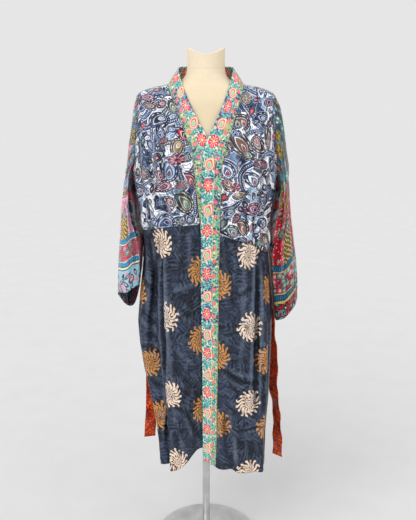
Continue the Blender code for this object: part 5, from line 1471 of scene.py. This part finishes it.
MOTIFS_RIGHT = (
    (0.194, 0.091, 41, 26, 0, "oval", "garnet"), (0.118, 0.069, 32, 32, 0, "star", "ochre"),
    (0.156, 0.045, 50, 29, -200, "crook", "pale"), (0.093, 0.145, 34, 26, -60, "eye", "green"),
    (0.109, 0.132, 69, 32, -95, "crook", "brown"), (0.133, 0.112, 32, 17, -70, "leaf", "coral"),
    (0.167, 0.129, 43, 29, -120, "drop", "navy"), (0.086, 0.173, 34, 29, -80, "drop", "steel"),
    (0.1, 0.2, 120, 34, -120, "plume", "brown"), (0.122, 0.244, 43, 23, 60, "drop", "olive"),
    (0.065, 0.283, 57, 37, -80, "drop", "pale"), (0.148, 0.214, 63, 26, 82, "drop", "umber"),
    (0.197, 0.195, 87, 20, -84, "plume", "umber"), (0.176, 0.266, 41, 26, -80, "crook", "wine"),
    (0.057, 0.227, 43, 23, -80, "drop", "olive"), (0.086, 0.333, 32, 26, -30, "star", "wine"),
    (0.095, 0.362, 41, 26, 60, "crook", "ochre"), (0.063, 0.333, 63, 26, 80, "crook", "brown"),
    (0.053, 0.362, 29, 20, -40, "leaf", "coral"), (0.144, 0.311, 52, 29, -95, "drop", "pale"),
    (0.148, 0.397, 50, 32, -120, "drop", "garnet"), (0.079, 0.459, 50, 29, -110, "drop", "green"),
    (0.115, 0.445, 74, 32, -80, "crook", "brown"), (0.089, 0.427, 41, 18, -50, "leaf", "coral"),
    (0.062, 0.288, 29, 20, 0, "leaf", "navy"), (0.197, 0.449, 48, 27, -100, "drop", "pale"),
    (0.051, 0.441, 38, 18, -60, "leaf", "green"), (0.112, 0.495, 42, 24, -120, "drop", "steel"),
    (0.208, 0.352, 48, 21, -80, "leaf", "navy"), (0.14, 0.458, 36, 18, -60, "leaf", "pink"),
    (0.099, 0.071, 34, 20, -60, "drop", "navy"), (0.064, 0.404, 44, 23, -160, "crook", "steel"),
    (0.217, 0.502, 40, 24, -90, "drop", "ochre"),
)
BRAIDS_LEFT = (  # knots as u v pairs, half the width in metres, tint
    (-0.206, 0.174, -0.157, 0.156, -0.12, 0.144, -0.085, 0.132, -0.081, 0.113, 0.0085, 0.1),
    (-0.085, 0.132, -0.078, 0.155, -0.082, 0.182, 0.0065, 0.4),
    (-0.294, 0.315, -0.221, 0.341, -0.173, 0.324, 0.0075, 0.0),
    (-0.163, 0.134, -0.158, 0.183, -0.168, 0.228, 0.0055, 0.9),
    (-0.167, 0.411, -0.13, 0.456, -0.073, 0.443, -0.042, 0.412, 0.007, 0.2),
    (-0.155, 0.271, -0.141, 0.306, -0.163, 0.362, 0.0045, 0.8),
)
BRAIDS_RIGHT = (
    (0.107, 0.085, 0.137, 0.126, 0.152, 0.157, 0.17, 0.168, 0.0065, 0.1),
    (0.173, 0.17, 0.133, 0.173, 0.103, 0.196, 0.006, 0.4),
    (0.05, 0.252, 0.07, 0.263, 0.088, 0.283, 0.077, 0.305, 0.007, 0.0),
    (0.045, 0.399, 0.078, 0.392, 0.105, 0.373, 0.0085, 0.9),
    (0.086, 0.218, 0.113, 0.205, 0.141, 0.222, 0.138, 0.26, 0.114, 0.279, 0.099, 0.305, 0.111, 0.344,
     0.128, 0.356, 0.0085, 0.2),
    (0.256, 0.219, 0.248, 0.258, 0.212, 0.303, 0.005, 0.8),
    (0.178, 0.329, 0.169, 0.378, 0.194, 0.43, 0.169, 0.475, 0.0045, 0.1),
    (0.074, 0.163, 0.079, 0.147, 0.066, 0.194, 0.005, 0.4),
)
MANY = ("drop", "crook", "leaf", "crook", "drop", "leaf", "crook", "leaf")
MIXED = ("wine", "olive", "steel", "brown", "navy", "ochre", "umber",
         "navy", "pale", "green", "umber", "steel", "coral", "green")
LARGE_BACK = scattered_motifs("robe_back_bodice", (), 30, 5, ("crook", "drop", "leaf", "crook"), MIXED[:7],
                              (46.0, 90.0))
for name, motifs, count, seed, braids, more in (
        ("robe_front_bodice_left", MOTIFS_LEFT, 80, 7, BRAIDS_LEFT, 11),
        ("robe_front_bodice_right", MOTIFS_RIGHT, 80, 8, BRAIDS_RIGHT, 9),
        ("robe_back_bodice", LARGE_BACK, 150, 9, (), 34)):
    strands = [*braids, *scattered_braids(name, more, seed)]
    print_motifs(name, scattered_motifs(name, motifs, count, seed, MANY, MIXED, (16.0, 42.0), braids=strands))
    print_strands(name, strands)

# %% Paisley silk
# Washed silk crepe, screen-printed: it gives soft broad highlights and slightly uneven ink.
paisley = new_material("printed_silk_crepe_paisley")
drift = wobbly(on("cut"), 0.044, 0.046)
patch = add("TexVoronoi", drift, 1.0 / 0.04, voronoi_dimensions="2D", out=None)
marbled = toned(add("SeparateColor", patch[1]), (0.0, "#FAFAFC"), (0.26, "#B4C8DC"), (0.38, "#FBFAF8"),
                (0.56, "#6F8BAC"), (0.64, "#F4F5F8"), (0.82, "#1F2A4A"))
# Fine contour lines fill the patches, like the combed lines of an old block print.
scroll = noise(drift, 17.0, 1.0, 0.4)
ground = layered(
    marbled, ("#5E7AA0", (abs(sine(scroll * 58.0)) < 0.34) * 0.8),
    ("#222B48", between(scroll, 0.452, 0.466)), ("#4A5D8A", between(scroll, 0.466, 0.492)),
    ("#1C2440", between(scroll, 0.492, 0.504)), ("#F1F1F2", between(scroll, 0.504, 0.514)))
along, across, tint = parts(stored("strand", out="Vector"))
wide = abs(across)
dye = toned(tint, (0.0, "#3F5484"), (0.34, "#5E75A4"), (0.54, "#6A553E"), (0.66, "#32544C"),
            (0.76, "#85323F"), (0.84, "#2A3862"))
# A braid: a navy edge, a dyed band, and a chain of pale dots 6 mm apart down its middle.
middle = painted("#1B2340", "#C8D2E4", sine(along * (TURN / 0.006)) > 0.0)
braid = layered(dye, (middle, wide < 0.24), ("#1A223E", wide > 0.66))
ground = layered(ground, ("#EDEFF4", between(wide, 1.0, 1.32)), ("#46577F", between(wide, 1.32, 1.5)),
                 (braid, wide < 1.0))
colour = motif_over(ground, "#171E36", "#DCE1EA", echo="#3C5478")
# The white on ridges is painted highlight with wear, and the dark in troughs is painted shade.
silk_surface(colour, 0.5, 0.55, 0.026, lifted="#FFFFFF", lift=0.08, deep=0.5)
printed_on(paisley, "robe_front_bodice_left", "robe_front_bodice_right", "robe_back_bodice")

# %% [markdown]
# ## Dark silk of the skirt
# A slate-navy silk with a tonal pattern of brushed leaves, and suns with curling rays in staggered
# columns, cream and gold by turns. The brushed leaves are bands of a wave that turns by a chance angle in
# each cell. A sun's ray is as wide as a curve of the distance from the middle says, and the angle is
# bent with the distance, so that every ray curls the same way.

# %% Where the suns lie
SUN_LONG, SUN_WIDE, SUN_RAYS = 106.0, 90.0, 15.0
SUNS_LEFT = (  # across and drop as the robe shows them, tint
    (-0.134, 0.508, "cream"), (-0.126, 0.74, "cream"), (-0.118, 1.001, "cream"), (-0.096, 1.241, "cream"),
    (-0.018, 0.592, "gold"), (-0.02, 0.823, "gold"), (-0.013, 1.067, "gold"), (-0.196, 0.68, "gold"),
    (-0.182, 0.908, "gold"), (-0.152, 1.088, "gold"),
)
SUNS_RIGHT = (
    (0.128, 0.54, "cream"), (0.134, 0.772, "cream"), (0.138, 1.029, "cream"), (0.136, 1.282, "cream"),
    (0.036, 0.631, "gold"), (0.037, 0.868, "gold"), (0.038, 1.103, "gold"), (0.186, 0.664, "gold"),
    (0.188, 0.886, "gold"), (0.19, 1.12, "gold"),
)


def on_cut(name, x, drop):
    """The place on the flat cut that hangs at this distance across and this drop."""
    _, points, flat = made_pieces[name]
    far = np.hypot(points[..., 0] - x, NECK_SEAM_HEIGHT - points[..., 2] - drop)
    return flat[np.unravel_index(np.argmin(far), far.shape)]


def suns(name, places):
    return [(*on_cut(name, x, drop), SUN_LONG, SUN_WIDE, 90.0, "sun", tint) for x, drop, tint in places]


PLEAT_DROPS = (0.6, 0.7, 0.8, 0.9, 1.0, 1.1, 1.2, 1.26)
PLEAT_LEFT = (-0.138, -0.141, -0.139, -0.148, -0.16, -0.181, -0.189, -0.198)


def pleat_left(v):
    """The long pleat hides part of the print, so suns end at it; it opens out near the waist."""
    return np.where(v < PLEAT_DROPS[0], -9.0, np.interp(v, PLEAT_DROPS, PLEAT_LEFT))


print_motifs("robe_front_skirt_left", suns("robe_front_skirt_left", SUNS_LEFT), pleat_left)
print_motifs("robe_front_skirt_right", suns("robe_front_skirt_right", SUNS_RIGHT))
print_motifs("robe_back_skirt", [
    (-0.32 + 0.106 * column, 0.555 + 0.237 * row + (0.112 if column % 2 else 0.0), SUN_LONG, SUN_WIDE, 90.0,
     "sun", "gold" if column % 2 else "cream") for column in range(7) for row in range(4)])


# %% Dark silk
def sun_over(ground):
    """The suns of a cut: a curled rosette, a ring of small petals and long flame-like rays."""
    ring, core = (stored("motif_" + part, out=None) for part in ("ring", "core"))
    r, angle = polar(wobbly(on("motif"), 0.26, 0.02))
    angle = scaled(core[3], 6.283, angle)
    wave = sine(scaled(r, 9.0, 0.6)) * 0.15
    outer = larger(r - 0.45, 0.0) ** 2.0
    place = scaled(angle + scaled(outer, 1.0, wave), SUN_RAYS / TURN, 100.0)
    off = add("FRACT", place) - 0.5
    chance = add("TexWhiteNoise", add("FLOOR", place), noise_dimensions="1D", out="Value")
    long = scaled(chance, 0.18, 0.86)
    gap = r * (TURN / SUN_RAYS)
    share = (r - 0.3) / (long - 0.3)
    width = toned(share, (0.0, "#404040"), (0.15, "#8C8C8C"), (0.38, "#C8C8C8"), (0.62, "#B0B0B0"),
                  (0.8, "#949494"), (1.0, "#202020"), blend="LINEAR")
    rays = (abs(off) * gap < width * 0.175) * between(share, 0.0, 1.0)
    # A comma at the end of each ray: a small disc set to one side of it.
    side, out = (off - 0.2) * gap, r - (long - 0.085)
    rays = larger(rays, root(scaled(side, side, out * out)) < 0.062)
    disc = (r < scaled(cosine(angle * 11.0), 0.03, 0.325)) * (1.0 - between(r, 0.195, 0.22))
    swirl = larger(sine(scaled(r, 58.0, angle * 3.0)) > -0.5, r > 0.195)
    slits = larger(cosine(angle * 22.0) > -0.8, r < 0.21)
    disc = disc * (swirl * slits)
    cut = on("cut")
    tint = painted(ring[0], core[0], ranged(noise(cut, 90.0, 2.0), 0.5, 0.8, 0.0, 0.7))
    # Dye from the ground has run into some suns, below their middles.
    _, y, _ = parts(cut)
    stained = ranged(noise(cut, 26.0, 3.0, 0.6), 0.6, 0.66) * (y > 0.9)
    tint = painted(tint, "#2A1512", stained * 0.8)
    return painted(ground, tint, larger(rays, disc))


# Crushed silk with a lustrous face: dark, with cool painted highlights along the fold ridges.
dark = new_material("crushed_silk_slate_with_suns")
cut = on("cut")
drift = wobbly(cut, 0.02, 0.03)
cell = add("TexVoronoi", drift, 1.0 / 0.048, voronoi_dimensions="2D", out=None)
turned = add("VectorRotate", drift, None, add("SeparateColor", cell[1]) * TURN, rotation_type="Z_AXIS")
leaf = add("TexWave", turned, BANDS / 0.012, 3.5, 2.0, 2.0, out="Fac")
strokes = leaf ** 2.0 * ranged(cell[0], 0.15, 0.75, 1.0, 0.1)
# Crushed creases: thin bent lines with painted shade on one side and a painted glint on the other.
crushed = noise(drift, 24.0, 3.0, 0.55)
valley, glint = (ranged(abs(crushed - at), 0.0, 0.045, 1.0, 0.0) for at in (0.5, 0.57))
ground = layered("#0B0F18", ("#2D3649", ranged(noise(cut, 8.0, 3.0, 0.6), 0.34, 0.64)),
                 ("#56657F", strokes * 0.58), ("#0B0D13", valley * 0.7), ("#5F6C84", glint * 0.3))
silk_surface(sun_over(ground), 0.44, 2.3, 0.026, lifted="#93A0B8", lift=0.22, deep=0.75)
printed_on(dark, "robe_front_skirt_left", "robe_front_skirt_right", "robe_back_skirt", "robe_belt_loop_left",
           "robe_belt_loop_right")

# %% [markdown]
# ## Floral silk of the neck band
# The band is cut from a striped floral: a wide stripe with paisley drops and big five-petalled flowers, a
# narrow one with small flowers, and thin golden lines between. Both halves of the band start from the
# same place behind the neck, so the print mirrors from one half to the other.

# %% Where the band's drops and flowers lie
DROPS_ALONG = (0.02, 0.124, 0.228, 0.326, 0.444, 0.578, 0.715, 0.85, 0.978, 1.115, 1.25, 1.379)
WIDE_MIDDLE, NARROW_MIDDLE = 0.0385, 0.0115
BAND_HALF_LENGTH, ROOM = 1.51, 0.42
LEAVES = (  # offset across, share of the step, turn
    (0.009, 0.7, 30.0), (-0.008, 0.71, 140.0), (0.001, 0.78, 90.0), (0.008, 0.24, 40.0), (-0.009, 0.2, 120.0),
)
BLUE_STARS = ((0.046, 0.27), (0.03, 0.287), (0.052, 0.294), (0.014, 0.262), (0.012, 0.42), (0.026, 0.413))
rows = []
for sign in (-1.0, 1.0):
    for along, following in zip(DROPS_ALONG, (*DROPS_ALONG[1:], BAND_HALF_LENGTH)):
        step = following - along
        rows += [(WIDE_MIDDLE, sign * along, 35.0, 25.0, -sign * 72.0, "bulb", "apricot"),
                 (WIDE_MIDDLE, sign * (along + 0.46 * step), 39.0, 28.0, 90.0, "star", "rose")]
        rows += [(WIDE_MIDDLE + offset, sign * (along + part * step), 19.0, 9.0, sign * turn, "leaf", "teal")
                 for offset, part, turn in LEAVES]
        rows += [(NARROW_MIDDLE + 0.003, sign * (along + part * step), 12.5, 11.5, 90.0, "star", "poppy")
                 for part in (0.15, 0.49, 0.82)]
        rows.append((NARROW_MIDDLE - 0.003, sign * (along + 0.32 * step), 15.0, 6.0, 60.0, "leaf", "teal"))
    rows += [(across, sign * along, 16.0, 15.0, 20.0, "star", "royal") for across, along in BLUE_STARS]
print_motifs("robe_neck_band", rows)

# %% Floral silk
# Printed silk twill, doubled and pressed: smooth and a little glossier than the crepe.
floral = new_material("printed_silk_twill_floral")
cut = on("cut")
across, along, _ = parts(cut)
drift, far = wobbly(cut, 0.006, 0.01), abs(along)
cloudy = ranged(noise(drift, 60.0, 2.0), 0.44, 0.56)
pale, meadow = painted("#8CCCBA", "#ECE8D6", cloudy), painted("#86C2A0", "#CFC384", cloudy)
sprig = add("TexVoronoi", drift, 1.0 / 0.0078, voronoi_dimensions="2D", out=None)
leaf_tint = toned(add("SeparateColor", sprig[1]), (0.0, "#0C8090"), (0.42, "#2A5BA2"), (0.49, "#2F9A80"),
                  (0.74, "#C9AC48"), (0.85, "#F0EADC"))
stem = noise(drift, 120.0, 1.0)
# Navy sprigs lie in clusters, thickest beside the chest, where they are part print and part painted shade.
clusters = scaled(between(far, 0.215, 0.33), 0.13, noise(cut, 17.0, 1.0))
royal = (clusters > 0.575) * between(far, 0.2, 1.0) * (sprig[0] < 0.55)
gold_line = larger(between(across, 0.0205, 0.0222), across < 0.0016)
ground = layered(meadow, (pale, across > 0.0215), (leaf_tint, sprig[0] < 0.4),
                 ("#2C9488", between(stem, 0.485, 0.515) * 0.85), ("#24397C", royal * 0.85),
                 ("#CBB064", gold_line * 0.8))
colour = motif_over(ground, None, "#E6E2C6", 0.1, 0.0007, 0.03, hatching=0.0)
# The white on ridges is painted highlight with wear, and the dark in troughs is painted shade.
silk_surface(colour, 0.42, 0.35, 0.02, pucker=False, lifted="#FFFFFF", lift=0.06, deep=0.4)
printed_on(floral, "robe_neck_band")

# %% [markdown]
# ## Border silk of the sleeves
# The sleeves are cut across a border print, on a slant: plain leaves at the cuff, a dotted stripe, a red
# floral band, a second stripe, then a row of pointed arches, and a free floral above them. A slanted height
# picks the zone, and each zone has its own ground.

# %% Where the sleeves' motifs lie
SLEEVE_GIRTH = 0.67
SLEEVE_PLACED = (
    (-0.04, 0.275, 27.0, 26.0, 0.0, "oval", "aqua"), (0.0, 0.352, 44.0, 32.0, 60.0, "fan", "moss"),
    (0.048, 0.335, 34.0, 26.0, 30.0, "oval", "petal"), (-0.055, 0.345, 28.0, 16.0, 40.0, "drop", "ruby"),
)
SLEEVE_ZONES = (  # motifs, seed, kinds, which tints, sizes in mm, heights on the cut
    (120, 0, ("leaf", "drop", "crook", "star", "leaf", "fan"), 0, (22.0, 52.0), (0.35, 0.7)),
    (60, 10, ("leaf", "drop", "leaf"), 1, (18.0, 34.0), (-0.05, 0.05)),
    (110, 20, ("star", "leaf", "star"), 2, (12.0, 20.0), (0.095, 0.15)),
    (110, 30, ("star", "eye"), 2, (8.0, 13.0), (0.185, 0.335)),
)
SLEEVE_TINTS = {
    "left": (14, (), ("aqua moss petal teal ruby moss", "moss petal aqua", "ruby teal petal")),
    "right": (15, SLEEVE_PLACED, ("moss aqua teal ruby moss navy", "teal ruby aqua", "teal petal teal")),
}
for side, (seed, rows, tints) in SLEEVE_TINTS.items():
    name = "robe_sleeve_" + side
    for count, more, kinds, pick, sizes, heights in SLEEVE_ZONES:
        dyes = tints[pick].split()
        rows = scattered_motifs(name, rows, count, seed + more, kinds, dyes, sizes, heights, ROOM)
    print_motifs(name, rows)


# %% Border silk
def border_silk(label, slant, stretch, shift, crest, middle, half, inner, tones):
    """Printed silk of a sleeve: zones by slanted height, then motifs, then painted shade on the side facing
    the body.
    """
    made = new_material(label)
    drift = wobbly(on("cut"), 0.007, 0.016)
    u, v, _ = parts(drift)
    # The print rises round the sleeve and comes back to its own height at the seam.
    around = sine(u * (TURN / SLEEVE_GIRTH))
    level = scaled(scaled(around, slant * SLEEVE_GIRTH / TURN, v), stretch, shift)
    zones = toned(level, *((at, tones[tone]) for at, tone in (
        (0.0, "cuff"), (0.055, "dark"), (0.062, "line"), (0.067, "dark"), (0.071, "stripe"), (0.089, "line"),
        (0.093, "floral"), (0.156, "line"), (0.16, "stripe"), (0.178, "ground"), (crest, "dark"),
        (crest + 0.004, "line"), (crest + 0.009, "moss"), (crest + 0.018, "dark"), (crest + 0.023, "upper"),
        (0.52, "top"))))
    cloud, vine = noise(drift, 30.0, 2.5), noise(drift, 75.0, 1.5)
    above = between(level, crest + 0.025, 0.53)
    # Dots 10 mm apart on the arches, on a grid that is turned to a diamond, and loose specks between them.
    diamond = add("VectorRotate", drift, None, math.radians(45.0), rotation_type="Z_AXIS")
    dots = add("TexVoronoi", diamond, 1.0 / 0.0104, None, None, None, 0.3, voronoi_dimensions="2D",
               out="Distance")
    specks = add("TexVoronoi", drift, 1.0 / 0.015, voronoi_dimensions="2D", out="Distance")
    period, base, high = SLEEVE_GIRTH / 6.0, 0.178, 0.14
    beside = abs(add("FRACT", scaled(u, 1.0 / period, 100.5 - middle / period)) - 0.5) * period
    share = (level - base) / high
    inside = (1.0 - larger(share, 0.0) ** 2.2) * half - beside
    standing = (share > 0.0) * (share < 1.0)
    outline = between(inside, -0.0036, 0.0) * standing
    apex = ((0.9 - share) * (1.3 * half) - beside) * (share > 0.6)
    moss = layered(tones["moss"], (tones["dot"], dots < 0.25), (tones["stripe"], between(apex, 0.0, 0.0045)),
                   (tones["light"], between(apex, 0.003, 0.0045)))
    stripes = larger(between(level, 0.074, 0.086), between(level, 0.163, 0.175))
    along_stripe = sine(u * (TURN / 0.0075))
    zones = layered(
        zones, (tones["patch"], (cloud > 0.56) * above), (tones["other"], (cloud < 0.43) * above),
        (tones["patch"], (cloud > 0.55) * (level < 0.05)),
        (tones["vine"], between(vine, 0.475, 0.525) * between(level, 0.093, 0.156)),
        (tones["dark"], between(vine, 0.49, 0.52) * (level > 0.34) * 0.85),
        (tones["speck"], (specks < 0.17) * between(level, 0.182, crest)),
        (tones["line"], outline * (share < 0.5)), (tones["stripe"], outline * (share > 0.5)),
        (moss, (inside > 0.0) * standing), (tones["light"], (along_stripe > 0.45) * stripes * 0.55),
        (tones["line"], (along_stripe > 0.0) * between(level, 0.067, 0.071)))
    whole = larger(larger(between(level, 0.062, 0.092), between(level, 0.155, 0.179)),
                   (inside > 0.0) * standing)
    colour = painted(motif_over(zones, tones["dark"], tones["line"], 0.16), zones, whole)
    # The side that faces the body is painted dark, as shade, with the print's crimson, teal and ochre dim in
    # it.
    shadow = layered("#161B2C", (tones["depth"], cloud > 0.53), ("#1F6672", between(cloud, 0.4, 0.45)),
                     ("#B9A06A", between(cloud, 0.445, 0.452)))
    colour = painted(colour, shadow, between(u, *inner) * (v < 0.47))
    # The white on ridges is painted highlight with wear, and the dark in troughs is painted shade.
    silk_surface(colour, 0.42, 0.5, 0.022, lifted="#FFFFFF", lift=0.1, deep=0.4)
    return made


TONES = {  # the same part of the print on the left and the right sleeve
    "dot": ("#F3E9DC", "#D9CBB4"), "cuff": ("#96CBDC", "#8E0C24"), "dark": ("#1C3A62", "#0E182B"),
    "line": ("#EDE0C2", "#B9A468"), "stripe": ("#0E86B4", "#0D4A6A"), "floral": ("#D8405C", "#980A26"),
    "ground": ("#EBA3BF", "#A8081E"), "upper": ("#84BCCB", "#3A6878"), "patch": ("#E890AC", "#5E868C"),
    "other": ("#C23C40", "#1A3F58"), "vine": ("#17788E", "#145868"), "speck": ("#F8E4E4", "#D89A9E"),
    "moss": ("#94741A", "#6B520C"), "light": ("#7CC8DC", "#4C92A8"), "top": ("#5F7C96", "#203A58"),
    # depth is the dim crimson in the painted shade on the side that faces the body.
    "depth": ("#8A1230", "#7A0F26"),
}
left_tones, right_tones = ({part: pair[side] for part, pair in TONES.items()} for side in (0, 1))
# Habotai, a light plain silk: thinner and smoother than the crepe, with a brighter print.
printed_on(border_silk("printed_habotai_border_pale", slant=0.0, stretch=1.2, shift=-0.028, crest=0.334,
                       middle=-0.01, half=0.029, inner=(0.048, 0.27), tones=left_tones), "robe_sleeve_left")
printed_on(border_silk("printed_habotai_border_deep", slant=0.06, stretch=0.926, shift=0.016, crest=0.38,
                       middle=0.003, half=0.029, inner=(-0.27, -0.066), tones=right_tones),
           "robe_sleeve_right")

# %% [markdown]
# ## Rust silk of the belt
# A small paisley in rust, crimson and dull pink.

# %% Rust silk
print_motifs("robe_belt", scattered_motifs("robe_belt", (), 520, 51, ("drop", "crook", "eye", "star", "leaf"),
                                           ("rust", "ember", "rust"), (14.0, 28.0), apart=ROOM))
# Silk satin with a small print: a warm colour with a smooth gloss.
rust = new_material("printed_silk_satin_rust")
drift = wobbly(on("cut"), 0.01, 0.016)
ground = layered("#A41416", ("#E65C1C", ranged(noise(drift, 45.0, 2.5), 0.42, 0.58)),
                 ("#BE5A34", between(noise(drift, 110.0, 1.5), 0.485, 0.515) * 0.7))
colour = motif_over(ground, "#66090E", "#D85C24", 0.16, 0.0006)
# The pale orange on ridges is painted highlight with wear, and the dark in troughs is painted shade.
silk_surface(colour, 0.42, 0.4, 0.018, pucker=False, lifted="#FFB07A", lift=0.05, deep=0.3)
printed_on(rust, "robe_belt")

# %% [markdown]
# ## Dress form
# The form is a limbless body under stretched cream jersey, with a neck that ends in a scooped top. It is
# a tube of rings, so a grid is rolled up, its long edges are merged and its ends are closed.

# %% Torso and neck of the form
def form_ring(turn, drop):
    power = FORM["power"](drop)
    s, c = sine_cosine(turn)
    depth = np.where(c > 0.0, FORM["front"](drop), FORM["back"](drop))
    x = FORM["half_width"](drop) * np.sign(s) * np.abs(s) ** (2.0 / power)
    y = -depth * np.sign(c) * np.abs(c) ** (2.0 / power)
    return joined(x, y, NECK_SEAM_HEIGHT - drop)


def rolled(name, points, slot, *nodes):
    """A closed body from rings of points: a grid rolled into a tube, its ends capped."""
    rows, columns = points.shape[0] - 1, points.shape[1] - 1
    tube = bmesh.new()
    bmesh.ops.create_grid(tube, x_segments=columns, y_segments=rows, size=1.0)
    for vertex in tube.verts:
        column, row = round((vertex.co.x + 1.0) / 2.0 * columns), round((vertex.co.y + 1.0) / 2.0 * rows)
        vertex.co = points[row, column]
    bmesh.ops.remove_doubles(tube, verts=tube.verts, dist=1e-6)
    bmesh.ops.holes_fill(tube, edges=tube.edges, sides=0)
    bmesh.ops.recalc_face_normals(tube, faces=tube.faces)
    mesh = bpy.data.meshes.new(name)
    tube.to_mesh(mesh)
    tube.free()
    mesh.shade_smooth()
    mesh.set_sharp_from_angle(angle=math.radians(50.0))
    piece = bpy.data.objects.new(name, mesh)
    bpy.context.scene.collection.objects.link(piece)
    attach(piece, "root")
    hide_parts(*nodes)
    print(name, "has", len(mesh.polygons), "faces")
    return piece


turn = np.linspace(-180.0, 180.0, 129)[None, :]
torso_drops = np.concatenate((np.linspace(0.0003, 0.1, 60), np.linspace(0.104, 0.768, 90)))
bottom_rings = ((0.7735, 0.995), (0.7775, 0.98), (0.7795, 0.955), (0.78, 0.93), (0.78, 0.6), (0.78, 0.25))
points = form_ring(turn, torso_drops[:, None])
bottom = [form_ring(turn, np.full((1, 1), drop)) * np.array((share, share, 1.0))
          for drop, share in bottom_rings]
torso = rolled("form_body", np.concatenate((points, *bottom)), "form_cover", "form_torso")

NECK_TOP_SIDE, NECK_TOP_CENTRE, LIP = 0.058, 0.04, 0.0012
s, c = sine_cosine(turn)
rise = mix(NECK_TOP_CENTRE, NECK_TOP_SIDE, s * s)
depth = np.where(c > 0.0, FORM["front"](0.0), FORM["back"](0.0))
rows = []
for share in np.linspace(0.0, 1.0, 22):
    waist = 1.0 - 0.012 * math.sin(math.pi * share)
    high = NECK_SEAM_HEIGHT + np.minimum(rise * share, rise - LIP)
    rows.append(joined(FORM["half_width"](0.0) * s * waist, -depth * c * waist, high))
for inset in (0.985, 0.965, 0.93, 0.8, 0.6, 0.4, 0.2, 0.06):
    lift = LIP * (1.0 - soft_step(0.93, 0.985, inset))
    saddle = mix(NECK_TOP_CENTRE, NECK_TOP_SIDE, s * s * inset ** 2)
    high = NECK_SEAM_HEIGHT - LIP + lift + mix(saddle, rise, soft_step(0.5, 0.985, inset))
    rows.append(joined(FORM["half_width"](0.0) * s * inset, -depth * c * inset, high))
neck = rolled("form_neck_cover", np.concatenate(rows), "form_cover", "form_neck")

# %% [markdown]
# ## Jersey cover and steel stand
# The form is covered with knitted jersey: matt, with a fine rib of loops that catches a little light at
# the edges. The pole and the base are brushed steel, whose scratches run round them.

# %% Jersey cover
# Cotton jersey: loops 1.4 mm apart, drawn at 2.4 mm so that they can show, and a fuzzy matt face.
jersey = new_material("cotton_jersey_cream")
place = add("TexCoord", out="Object")
loops = add("VectorMath", place, (1.0, 1.0, 1.35), operation="MULTIPLY")
knit = add("TexVoronoi", loops, 1.0 / 0.0024, out="Distance")
height = scaled(knit, 0.6, noise(place, 60.0, 3.0) * 0.5)
_, _, z = parts(place)
# The cover is painted a little darker from below the neck downwards, as shade over the chest.
tone = layered("#E6D5B8", ("#EEDFC6", ranged(noise(place, 9.0, 3.0), 0.35, 0.65)),
               ("#D2BF9E", ranged(knit, 0.35, 0.7, 0.0, 0.35)),
               ("#CDBB98", ranged(z, 1.59, 1.535, 0.0, 0.42)))
shade({"Base Color": tone, "Roughness": 0.85, "Normal": bumped(height, 0.35, 0.0006), "Sheen Weight": 0.25,
       "Sheen Roughness": 0.5, "Specular IOR Level": 0.3})
for piece in (torso, neck):
    piece.data.materials.append(jersey)

# %% Brushed steel
# Stainless steel brushed round the axis: a metal with long soft highlights.
steel = new_material("brushed_stainless_steel")
place = add("TexCoord", out="Object")
x, y, z = parts(place)
around = add("ARCTAN2", y, x) * 0.004
scratch = noise(add("CombineXYZ", root(scaled(x, x, y * y)), around, z), 900.0, 3.0)
tone = painted("#B9B9BA", "#D2D2D2", ranged(noise(place, 14.0, 3.0), 0.35, 0.65))
shade({"Base Color": tone, "Roughness": ranged(scratch, 0.3, 0.7, 0.26, 0.44), "Metallic": 1.0,
       "Normal": bumped(scratch, 0.15, 0.0002)})
for name in ("form_pole", "form_base"):
    frame["nodes"][name].material_slots[0].material = steel
print("jersey on", torso.name, "and", neck.name, "- steel on the stand")
